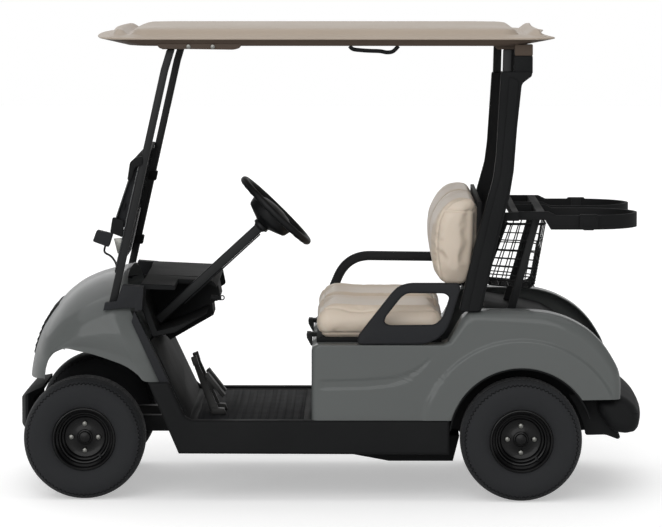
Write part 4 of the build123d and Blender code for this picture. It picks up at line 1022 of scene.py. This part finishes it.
cushionShape = {
    "seatLow": (-0.436, 0.01, 0.6085), "seatHigh": (0.06, 0.472, 0.7065),
    "seatRound": 0.046, "seatCap": 0.016,
    "voxel": 0.006, "pressure": 4.0, "frames": 20,
    # height of the end bolsters, depth of the hollow, rise, roll and lean of the front
    "bolster": 0.008, "hollow": 0.006, "frontRise": 0.007, "frontRoll": 0.01, "frontLean": 0.012,
    # seam: depth, half width, distance of the top panel's seam from the edge, height of the border's joint
    "seamDepth": 0.0035, "seamHalf": 0.0042, "panelInset": 0.034, "borderJoint": 0.622,
    # side outline of the seat back, x, z
    "back": mm([(-512, 803), (-424, 806), (-404, 850), (-392, 930), (-392, 985), (-401, 1045), (-424, 1095),
                (-458, 1126), (-500, 1136), (-538, 1134), (-550, 1112), (-548, 1094), (-547, 963),
                (-536, 860)]),
    "backLow": 0.012, "backHigh": 0.462, "backRound": 0.024, "backCap": 0.01,
    # sewn joint between the front pad and the side panel of the seat back, x, z
    "backSeam": mm([(-505, 1134), (-462, 1118), (-432, 1090), (-413, 1045), (-404, 985), (-404, 930),
                    (-415, 855), (-428, 806)]),
    "backCross": mm([(-432, 1084), (-552, 1082)]),
}


def roundedBlock(name, low, high, radius, cuts, bend):
    # cube of even squares pulled onto a block with round edges, then bent
    deselectAll()
    bpy.ops.mesh.primitive_cube_add(size=2)
    piece = bpy.context.object
    piece.name = name
    editMesh(piece, subdivide={"number_cuts": cuts})
    low, high = Vector(low), Vector(high)
    middle, half = (low + high) / 2, (high - low) / 2
    for vertex in piece.data.vertices:
        point = Vector([c * h for c, h in zip(vertex.co, half)])
        core = Vector([max(-h + radius, min(h - radius, c)) for c, h in zip(point, half)])
        away = point - core
        if away.length > 0:
            point = core + away.normalized() * min(away.length, radius)
        vertex.co = bend(middle + point)
    return piece


def seatBend(point):
    # bolsters at the ends, a hollow where one sits and a front that rolls over
    shape = cushionShape
    low, high = Vector(shape["seatLow"]), Vector(shape["seatHigh"])
    u, v, w = [(p - a) / (b - a) for p, a, b in zip(point, low, high)]
    away = abs(2 * v - 1)
    bolster = smoothStep(away, 0.58, 0.88) * shape["bolster"]
    hollow = shape["hollow"] * sin(pi * min(max(u, 0), 1)) * (1 - smoothStep(away, 0.4, 0.9))
    front = shape["frontRise"] * smoothStep(u, 0.62, 0.88) - shape["frontRoll"] * smoothStep(u, 0.9, 1.0)
    point.z += w * (bolster - hollow + front)
    point.x -= shape["frontLean"] * (1 - w) * smoothStep(u, 0.8, 1.0)
    return point


def swell(piece, cap):
    makeActive(piece)
    piece.data.remesh_voxel_size = cushionShape["voxel"]
    bpy.ops.object.voxel_remesh()
    start = [vertex.co.copy() for vertex in piece.data.vertices]
    cloth = piece.modifiers.new("Cloth", "CLOTH")
    cloth.settings.use_pressure = True
    cloth.settings.uniform_pressure_force = cushionShape["pressure"]
    cloth.settings.effector_weights.gravity = 0
    cloth.settings.quality = 4
    cloth.point_cache.frame_end = cushionShape["frames"]
    for step in range(1, cushionShape["frames"] + 1):
        bpy.context.scene.frame_set(step)
    makeActive(piece)
    bpy.ops.object.modifier_apply(modifier=cloth.name)
    bpy.context.scene.frame_set(1)
    for vertex, before in zip(piece.data.vertices, start):
        move = vertex.co - before
        if move.length > cap:
            vertex.co = before + move.normalized() * cap
    applyModifier(piece, "SMOOTH", factor=0.5, iterations=4)
    applyModifier(piece, "SUBSURF", levels=1, render_levels=1)
    smoothShade(piece, 80)


def lineGap(line, x, z):
    # distance from a point in the side view to a line
    here = Vector((x, z))
    best = 1.0
    for a, b in zip(line, line[1:]):
        p, q = Vector(a), Vector(b)
        t = min(max((here - p).dot(q - p) / (q - p).length_squared, 0), 1)
        best = min(best, (here - p.lerp(q, t)).length)
    return best


def seamGroove(piece, distance):
    # a sewn seam pulls the cover in along a line
    depth, half = cushionShape["seamDepth"], cushionShape["seamHalf"]
    normals = [vertex.normal.copy() for vertex in piece.data.vertices]
    for vertex, normal in zip(piece.data.vertices, normals):
        gap = distance(vertex.co)
        if gap < half * 3:
            vertex.co -= normal * depth * exp(-(gap / half) ** 2)


def buildSeatCushions():
    shape = cushionShape
    low, high = Vector(shape["seatLow"]), Vector(shape["seatHigh"])
    piece = roundedBlock("seatCushionLeft", low, high, shape["seatRound"], 22, seatBend)
    swell(piece, shape["seatCap"])

    def toSeam(co):
        # the top panel is sewn to the border a little inside the edge,
        # and the border has a joint near its foot
        inside = min(co.x - low.x, high.x - co.x, co.y - low.y, high.y - co.y)
        top = abs(inside - shape["panelInset"]) if co.z > high.z - 0.022 else 1.0
        return min(top, abs(co.z - shape["borderJoint"]))

    seamGroove(piece, toSeam)
    for half in setPair(piece, "seatCushionRight", "vinyl", "seat_cushion", body="seat_lid"):
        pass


def buildBackCushions():
    shape = cushionShape
    low, high = shape["backLow"], shape["backHigh"]
    piece = platePiece("seatBackLeft", rounded(shape["back"], 0.02, 3), low, high, 0)
    softenEdges(piece, shape["backRound"], 4, 50)
    swell(piece, shape["backCap"])

    def toSeam(co):
        if min(co.y - low, high - co.y) > 0.026:
            return 1.0
        return min(lineGap(shape["backSeam"], co.x, co.z), lineGap(shape["backCross"], co.x, co.z))

    seamGroove(piece, toSeam)
    for half in setPair(piece, "seatBackRight", "vinyl", "seat_back_cushion"):
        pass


buildSeatCushions()
buildBackCushions()
print("cushions made")


# basket of welded wire between the rack's bars

basketShape = {
    # x, z of the side frame: top front, top rear, bottom rear, bottom front
    "corners": mm([(-678, 1014), (-824, 1014), (-779, 763), (-592, 780)]),
    "half": 0.184, "wire": 0.0026, "rim": 0.0042, "foot": 0.03,
    "levels": [0.1, 0.18, 0.32, 0.44, 0.58, 0.735],  # share of the height of each ring
    "sideWires": [0.1, 0.3, 0.5, 0.7, 0.9], "wallWires": 16, "meshTop": 0.6, "meshRings": 12,
}


def buildBasket():
    shape = basketShape
    tf, tr, br, bf = (Vector((x, 0, z)) for x, z in shape["corners"])
    half, wire = shape["half"], shape["wire"]
    made = []

    def ring(share, radius):
        front, rear = bf.lerp(tf, share), br.lerp(tr, share)
        loop = bendPath([(front.x, 0, front.z), (front.x, half, front.z), (rear.x, half, rear.z),
                         (rear.x, -half, rear.z), (front.x, -half, front.z),
                         (front.x, -0.001, front.z)], 0.022, 4)
        made.append(tubePiece("wire", loop, radius, closed=True, sides=1))

    def bent(points, radius=wire):
        made.append(tubePiece("wire", bendPath(points, shape["foot"], 4), radius, sides=1))

    # the thick rim has a thin wire under it
    ring(1.0, shape["rim"])
    ring(0.985, wire)
    for share in shape["levels"]:
        ring(share, wire)
    for share in shape["sideWires"]:
        top, low = tf.lerp(tr, share), bf.lerp(br, share)
        bent([(top.x, half, top.z), (low.x, half, low.z), (low.x, -half, low.z), (top.x, -half, top.z)])
    for i in range(1, shape["wallWires"]):
        # every second wire runs up to the front rim, every fourth to the rear one,
        # the rest stop at the mesh's top
        y = half - 2 * half * i / shape["wallWires"]
        start = tf if i % 2 else bf.lerp(tf, shape["meshTop"])
        end = tr if i % 4 == 1 else br.lerp(tr, shape["meshTop"])
        bent([(start.x, y, start.z), (bf.x, y, bf.z), (br.x, y, br.z), (end.x, y, end.z)])
    for i in range(shape["meshRings"] + 1):
        rear = br.lerp(tr, 0.04 + (shape["meshTop"] - 0.04) * i / shape["meshRings"])
        made.append(tubePiece("wire", [(rear.x, half, rear.z), (rear.x, -half, rear.z)], wire, sides=1))
    setPiece(joinPieces("basketWires", made), "black_steel", "basket")


buildBasket()
print("basket made")


# steering: grip, bowl over the hub, spokes, square column

steeringShape = {
    "centre": (0.203, 0.27, 1.071), "foot": (0.632, 0.27, 0.633), "radius": 0.166, "grip": 0.0135,
    "columnFoot": (0.632, 0.27, 0.671),
    # radius, distance from the grip's plane towards the column
    "bowl": mm([(0, -12), (30, -14), (60, -8), (85, 4), (94, 13), (95.5, 23), (91, 44), (86, 51), (60, 62),
                (36, 71), (29, 75.2)]),
    "collar": mm([(0, 76.2), (31, 76.2), (31, 86), (25, 88.5), (20, 96)]),
    "column": 0.036, "spokeWidth": 0.03, "spokeDepth": 0.01, "spokeTurns": (90, 210, 330), "spokeDish": 0.018,
    "ripple": 0.05, "ripples": 24,
}


def buildSteering():
    shape = steeringShape
    centre, foot = Vector(shape["centre"]), Vector(shape["foot"])
    down = (foot - centre).normalized()
    deselectAll()
    bpy.ops.mesh.primitive_torus_add(major_segments=96, minor_segments=20, major_radius=shape["radius"],
                                     minor_radius=shape["grip"])
    grip = bpy.context.object
    for vertex in grip.data.vertices:
        # finger waves on the far side of the grip
        turn = Vector((vertex.co.x, vertex.co.y)).to_2d()
        outward = turn.normalized()
        core = outward * shape["radius"]
        away = Vector((turn.x - core.x, turn.y - core.y, vertex.co.z))
        angle = outward.angle_signed(Vector((1, 0)), 0)
        ripple = 1 + shape["ripple"] * max(0, away.z / shape["grip"]) * cos(shape["ripples"] * angle)
        vertex.co = Vector((core.x, core.y, 0)) + away * ripple
    placeAlong(grip, centre, down)
    smoothShade(grip, 60)
    parts = [grip, latheAlong("bowl", shape["bowl"], centre, down)]
    for turn in shape["spokeTurns"]:
        spoke = boxPiece("spoke", (0.05, -shape["spokeWidth"] / 2, -0.002),
                         (shape["radius"], shape["spokeWidth"] / 2, shape["spokeDepth"]), 0.004)
        spin = radians(turn)
        for vertex in spoke.data.vertices:
            x, y, z = vertex.co
            z += shape["spokeDish"] * (1 - x / shape["radius"])
            vertex.co = (x * cos(spin) - y * sin(spin), x * sin(spin) + y * cos(spin), z)
        placeAlong(spoke, centre, down)
        parts.append(spoke)
    wheel = joinPieces("steeringWheel", parts)
    cleanMesh(wheel, 0.00001)
    smoothShade(wheel, 45)
    setPiece(wheel, "black_plastic", "steering_wheel", body="steering_wheel", finish="gripFoam")

    # square tube from under the collar into the floor, with a raised line along its face
    half = shape["column"] / 2
    end = Vector(shape["columnFoot"])
    start = centre + down * shape["collar"][2][1]
    lean = (end - start).normalized()
    length = (end - start).length + 0.03
    tube = boxPiece("tube", (-half, -half, 0), (half, half, length), 0.006, 3)
    rib = boxPiece("rib", (half + 0.001, -0.005, 0.02), (half + 0.006, 0.005, length - 0.12), 0.0015)
    for piece in (tube, rib):
        placeAlong(piece, start, lean)
    collar = latheAlong("collar", shape["collar"], centre, down, 40)
    column = joinPieces("steeringColumn", [tube, rib, collar])
    smoothShade(column, 35)
    setPiece(column, "black_steel", "steering_column")


buildSteering()
print("steering made")


# armrests: a closed loop on the driver's side and a long bent bar on the other

armrestShape = {
    "outer": mm([(-103, 591.5), (-110, 625), (-236, 786), (-262, 810), (-300, 821), (-484, 821), (-492, 800),
                 (-455, 680), (-436, 640), (-405, 610), (-362, 593), (-330, 591.5)]),
    "inner": mm([(-206, 672), (-212, 694), (-268, 766), (-292, 783), (-432, 782), (-450, 768), (-424, 690),
                 (-396, 664), (-226, 662)]),
    "centre": (-0.335, 0.722), "low": 0.53, "high": 0.568, "edge": 0.011,
    "bar": mm([(36, 591.5), (-64, 830), (-492, 825)]), "barBend": 0.095, "barWidth": 0.037,
}


def buildArmrests():
    shape = armrestShape
    left = ringPiece("armrestLeft", rounded(shape["outer"], 0.02), rounded(shape["inner"], 0.016),
                     shape["centre"], shape["low"], shape["high"], shape["edge"])
    setPiece(left, "black_plastic", "armrest_left", finish="charcoalPolypropylene")
    path = bendPath(shape["bar"], shape["barBend"], 14)
    right = platePiece("armrestRight", stripOutline(path, shape["barWidth"]),
                       -shape["high"], -shape["low"], 0.013, 4)
    setPiece(right, "black_plastic", "armrest_right", finish="charcoalPolypropylene")


buildArmrests()
print("armrests made")


# rear posts: moulded covers with a cap block under the roof

postShape = {
    "outline": mm([(-486, 712), (-512, 830), (-548, 980), (-590, 1130), (-612, 1210), (-622, 1290),
                   (-640, 1609), (-755, 1609), (-755, 1592), (-717, 1564), (-700, 1400), (-688, 1237),
                   (-672, 1140), (-650, 1060), (-568, 712)]),
    "rib": mm([(-520, 715), (-560, 900), (-602, 1080), (-640, 1230), (-655, 1400), (-670, 1590), (-704, 1575),
               (-690, 1400), (-678, 1237), (-662, 1140), (-640, 1060), (-560, 715)]),
    "low": 0.49, "high": 0.55, "ribHigh": 0.556,
    # the right cover is shorter: heights between the two are drawn in by the share
    "shorten": (1.4, 1.6115, 0.8),
    "block": (-0.757, 0.5, 1.602, -0.688, 0.546, 1.6665), "cap": (-0.757, 0.498, 1.6675, -0.69, 0.548, 1.709),
}


def buildPostCovers():
    shape = postShape
    shell = platePiece("shell", rounded(shape["outline"], 0.012, 3), shape["low"], shape["high"], 0.009, 4)
    rib = platePiece("rib", rounded(shape["rib"], 0.01, 3), shape["high"] - 0.01, shape["ribHigh"], 0.005, 3)
    block = boxPiece("block", shape["block"][:3], shape["block"][3:], 0.003)
    left = joinPieces("postCoverLeft", [shell, rib, block])
    right = setPair(left, "postCoverRight", "black_plastic", "post_covers")[1]
    low, high, share = shape["shorten"]
    for vertex in right.data.vertices:
        if low < vertex.co.z < high:
            vertex.co.z = low + (vertex.co.z - low) * share
    cap = boxPiece("roofPadLeft", shape["cap"][:3], shape["cap"][3:], 0.003)
    # the pads under the roof take the roof's darker brown, which is painted shade
    setPair(cap, "roofPadRight", "roof_plastic")


buildPostCovers()
print("post covers made")


# folded windscreen: clips, side channels, and a small box on its wire bracket beside the strut

screenShape = {
    # block outlines in the side view, x, z, with the y range
    "clips": [
        ([(0.751, 1.204), (0.741, 1.27), (0.721, 1.288), (0.694, 1.292), (0.694, 1.262), (0.724, 1.251),
          (0.737, 1.206)], 0.505, 0.545),
        ([(0.772, 1.094), (0.764, 1.118), (0.757, 1.117), (0.765, 1.092)], 0.515, 0.535),
        ([(0.807, 1.064), (0.765, 1.053), (0.769, 0.99), (0.816, 1.008)], 0.505, 0.545),
        ([(0.732, 1.136), (0.724, 1.172), (0.69, 1.17), (0.698, 1.132)], -0.545, -0.505),
        ([(0.786, 0.882), (0.779, 0.916), (0.745, 0.914), (0.752, 0.878)], -0.545, -0.505),
    ],
    "channel": mm([(743, 1224), (719, 1262), (690, 1262), (748, 1020), (794, 1034)]),
    "channelLow": 0.506, "channelHigh": 0.514,
    "plate": mm([(804, 984), (772, 986), (764, 937), (790, 926)]), "plateLow": 0.512, "plateHigh": 0.516,
    "box": mm([(882, 974), (867, 1015), (807, 1000), (822, 952)]), "boxLow": 0.47, "boxHigh": 0.535,
    "wire": mm([(836, 503, 958), (843, 503, 930), (815, 503, 918), (795, 510, 890), (792, 522, 862)]),
    "wireRadius": 0.004,
}


def buildScreenParts():
    shape = screenShape
    made = [platePiece("clip", rounded(outline, 0.006, 3), low, high, 0.002)
            for outline, low, high in shape["clips"]]
    setPiece(joinPieces("screenClips", made), "black_plastic")
    channel = platePiece("channel", shape["channel"], shape["channelLow"], shape["channelHigh"], 0.002)
    channels = joinPieces("screenChannels", [channel, otherSide(channel, "channelTwin")])
    setPiece(channels, "black_plastic", finish="charcoalPolypropylene")
    plate = platePiece("lampPlate", rounded(shape["plate"], 0.004, 3),
                       shape["plateLow"], shape["plateHigh"], 0.0008)
    setPiece(plate, "plain_steel", finish="zincPlate")
    box = platePiece("lampBox", rounded(shape["box"], 0.006, 3), shape["boxLow"], shape["boxHigh"], 0.004, 3)
    setPiece(box, "black_plastic", finish="charcoalPolypropylene")
    wire = tubePiece("lampBracket", bendPath(shape["wire"], 0.015, 5), shape["wireRadius"], sides=3)
    setPiece(wire, "black_steel")


buildScreenParts()
print("screen parts made")


# bag rack straps: webbing round the near loop with its buckle, and the far one

strapShape = {
    # x, z, x, z of the buckle, and the distances from the middle plane of its body and its raised face
    "buckle": (-1.008, 1.0145, -0.938, 1.0705), "body": (0.442, 0.462), "face": (0.446, 0.465),
    "faceInset": (0.01, 0.012),
    # x, y, z, x, y, z of the webbing
    "web": (-0.992, 0.431, 1.0095, -0.954, 0.448, 1.0685),
}


def buildStraps():
    shape = strapShape
    x1, z1, x2, z2 = shape["buckle"]
    insetX, insetZ = shape["faceInset"]
    frontX1, frontX2, frontZ1, frontZ2 = x1 + insetX, x2 - insetX, z1 + insetZ, z2 - insetZ
    rim = rounded([(x1, z1), (x2, z1), (x2, z2), (x1, z2)], 0.008)
    face = rounded([(frontX1, frontZ1), (frontX2, frontZ1), (frontX2, frontZ2), (frontX1, frontZ2)], 0.005)
    for sign, label in ((1, "Left"), (-1, "Right")):
        plate = platePiece("buckle", rim, *sorted(sign * y for y in shape["body"]), 0.003, 3)
        raised = platePiece("raised", face, *sorted(sign * y for y in shape["face"]), 0.002)
        setPiece(joinPieces("buckle" + label, [plate, raised]), "black_plastic")
        wx1, wy1, wz1, wx2, wy2, wz2 = shape["web"]
        low, high = sorted((sign * wy1, sign * wy2))
        web = boxPiece("strap" + label, (wx1, low, wz1), (wx2, high, wz2), 0.0012)
        setPiece(web, "black_plastic", finish="nylonWebbing")


buildStraps()
print("straps made")


# wheel arch linings behind the rear wheels, with the flap that hangs at their rear

liningShape = {
    "centre": (-0.72, 0.2285), "radius": 0.2695, "thick": 0.004, "from": 18.0, "to": 172.0,
    "low": 0.33, "high": 0.562,
    "flap": mm([(-961, 262), (-964, 238), (-1040, 240), (-1088, 222), (-1096, 230), (-1084, 262),
                (-1060, 330), (-1050, 392), (-899, 392), (-928, 350), (-950, 300)]),
    "flapLow": 0.455, "flapHigh": 0.462,
    "wallFrom": 3.0, "wallTo": 176.0, "wallInner": 0.205, "wallLow": 0.336, "wallHigh": 0.34,
}


def buildLinings():
    shape = liningShape
    cx, cz = shape["centre"]

    def place(u, v):
        turn = radians(shape["from"] + (shape["to"] - shape["from"]) * u)
        y = shape["low"] + (shape["high"] - shape["low"]) * v
        return (cx - shape["radius"] * cos(turn), y, cz + shape["radius"] * sin(turn))

    arch = gridPiece("arch", 60, 2, place)
    applyModifier(arch, "SOLIDIFY", thickness=shape["thick"], offset=0)
    flap = platePiece("flap", rounded(shape["flap"], 0.01, 3), shape["flapLow"], shape["flapHigh"], 0.002)
    # the wall inside the wheel closes the view into the chassis
    turns = [radians(shape["wallFrom"] + (shape["wallTo"] - shape["wallFrom"]) * i / 48) for i in range(49)]

    def arc(radius, angles):
        return [(cx - radius * cos(turn), cz + radius * sin(turn)) for turn in angles]

    outline = arc(shape["radius"], turns) + arc(shape["wallInner"], reversed(turns))
    wall = platePiece("wall", outline, shape["wallLow"], shape["wallHigh"], 0)
    left = joinPieces("archLiningLeft", [arch, flap, wall])
    smoothShade(left, 35)
    setPair(left, "archLiningRight", "black_plastic")


buildLinings()
print("linings made")


# rear bumper: one moulding, rounded in the side view and at the plan corners, two fine grooves in its face

bumperShape = {
    # x, z of the section
    "section": mm([(-1096, 402), (-1112, 396), (-1142, 381), (-1172, 354), (-1184.5, 330), (-1181.5, 327.5),
                   (-1186.5, 325), (-1189.5, 313), (-1189.3, 300.5), (-1185.5, 298), (-1188.5, 295.5),
                   (-1184, 274), (-1170, 256), (-1138, 249.5), (-1100, 254), (-1074, 272), (-1034, 330),
                   (-1030, 360), (-1040, 372), (-1078, 377), (-1088, 386), (-1091, 397)]),
    "half": 0.535,
    # the corner's length, how far the section shrinks there, and the bow of the whole in plan
    "corner": 0.05, "cornerDraw": 0.55, "bow": 0.1, "rows": 44,
}


def buildRearBumper():
    shape = bumperShape
    section = rounded(shape["section"], 0.006, 2)
    centre = Vector((sum(x for x, z in section) / len(section), sum(z for x, z in section) / len(section)))

    def place(u, v):
        x, z = section[round(u * len(section)) % len(section)]
        # rows crowd towards the ends, where the corners turn
        y = shape["half"] * sin(pi / 2 * (2 * v - 1))
        over = max(0.0, abs(y) - (shape["half"] - shape["corner"])) / shape["corner"]
        draw = 1 - (1 - sqrt(max(0.0, 1 - over ** 2))) * shape["cornerDraw"]
        return (centre.x + (x - centre.x) * draw + shape["bow"] * y * y, y, centre.y + (z - centre.y) * draw)

    piece = gridPiece("rearBumper", len(section), shape["rows"], place)
    editMesh(piece, remove_doubles={"threshold": 0.00005}, fill_holes={"sides": 0},
             normals_make_consistent={"inside": False})
    smoothShade(piece, 35)
    setPiece(piece, "black_plastic", "rear_bumper")


buildRearBumper()
print("rear bumper made")


# dashboard: the driver's tray is cut back where the column runs through it

dashCut = {"low": (0.395, 0.236, 0.742), "high": (0.578, 0.6, 0.86)}


def buildDash():
    piece = frameCopy("dash", "dashboard", 0.0)
    cut = boxPiece("cut", dashCut["low"], dashCut["high"], 0)
    applyModifier(piece, "BOOLEAN", operation="DIFFERENCE", object=cut, solver="EXACT")
    bpy.data.objects.remove(cut, do_unlink=True)
    softenEdges(piece, 0.0035, 2, 32)
    smoothShade(piece, 35)
    setPiece(piece, "black_plastic", "dashboard")


buildDash()
print("dash made")


# ignition key in the dash

keyShape = {"barrel": [(0.45, 0.3, 0.741), (0.424, 0.3, 0.739)], "radius": 0.011,
            "blade": (0.41, 0.2985, 0.731, 0.426, 0.3015, 0.747),
            "ring": (0.407, 0.3, 0.741), "ringRadius": 0.008}


def buildKey():
    shape = keyShape
    barrel = roundPiece("barrel", *shape["barrel"], shape["radius"], 24, 0.001)
    blade = boxPiece("blade", shape["blade"][:3], shape["blade"][3:], 0.0008)
    cx, cy, cz = shape["ring"]
    loop = [(cx + shape["ringRadius"] * cos(pi * i / 12), cy, cz + shape["ringRadius"] * sin(pi * i / 12))
            for i in range(24)]
    ring = tubePiece("ring", loop, 0.0022, closed=True)
    setPiece(joinPieces("ignitionKey", [barrel, blade, ring]), "black_plastic")


buildKey()
print("key made")


# pieces whose frame shape is right: softened edges and their finish

dressed = [
    # name, node, slot, edge, and a body or a finish of its own
    ("strutPair", "front_struts", "black_steel", 0.003),
    ("sideTrims", "side_trims", "charcoal_plastic", 0.003),
    ("screenHinge", "windscreen_hinge", "black_plastic", 0.0015),
    ("rackHousing", "steering_rack", "plain_steel", 0.001),
    ("pedalPair", "pedals", "plain_steel", 0.0015, {"finish": "castSteel"}),
    ("frontBumper", "front_bumper", "black_plastic", 0.006),
    ("frontArms", "front_suspension", "plain_steel", 0.0015),
    ("knuckleLeft", "knuckle_left", "plain_steel", 0.0, {"body": "knuckle_left"}),
    ("knuckleRight", "knuckle_right", "plain_steel", 0.0, {"body": "knuckle_right"}),
    ("tieRod", "tie_rod", "plain_steel", 0.0, {"body": "tie_rod"}),
    ("frameRails", "chassis_frame", "plain_steel", 0.003),
    ("skidPan", "skid_pan", "black_plastic", 0.003),
    ("batteries", "battery_pack", "battery_case", 0.004),
    ("floorPan", "floor_pan", "black_plastic", 0.003),
    ("floorMat", "floor_mat", "mat", 0.0008),
    ("rockers", "rocker_panels", "black_plastic", 0.002),
    ("rearDeck", "rear_deck", "black_plastic", 0.005),
    ("rearAxle", "rear_axle", "plain_steel", 0.002),
    ("rearSprings", "rear_suspension", "plain_steel", 0.001),
    ("seatHinges", "seat_hinges", "plain_steel", 0.0),
    ("seatPan", "seat_pan", "black_plastic", 0.002, {"body": "seat_lid"}),
    ("seatBackBoard", "seat_back_frame", "black_plastic", 0.002),
    ("postPair", "rear_posts", "black_steel", 0.004),
    # the bearers take the roof's darker brown, which is painted shade
    ("roofBearers", "roof_bearers", "roof_plastic", 0.003),
    ("bagRack", "bag_rack", "black_plastic", 0.003),
    ("rackBars", "rack_supports", "black_steel", 0.0015),
    ("screenLow", "windscreen_lower", "screen", 0.001),
    ("screenHigh", "windscreen_upper", "screen", 0.001),
]
for name, node, slot, edge, *own in dressed:
    setPiece(frameCopy(name, node, edge), slot, node, **(own[0] if own else {}))
# the bearers end inside the roof's turned-down edge
bearerLimit = {"side": 0.525, "top": 1.733}
for vertex in bpy.data.objects["roofBearers"].data.vertices:
    vertex.co.y = min(max(vertex.co.y, -bearerLimit["side"]), bearerLimit["side"])
    vertex.co.z = min(vertex.co.z, bearerLimit["top"])
print("frame pieces dressed")
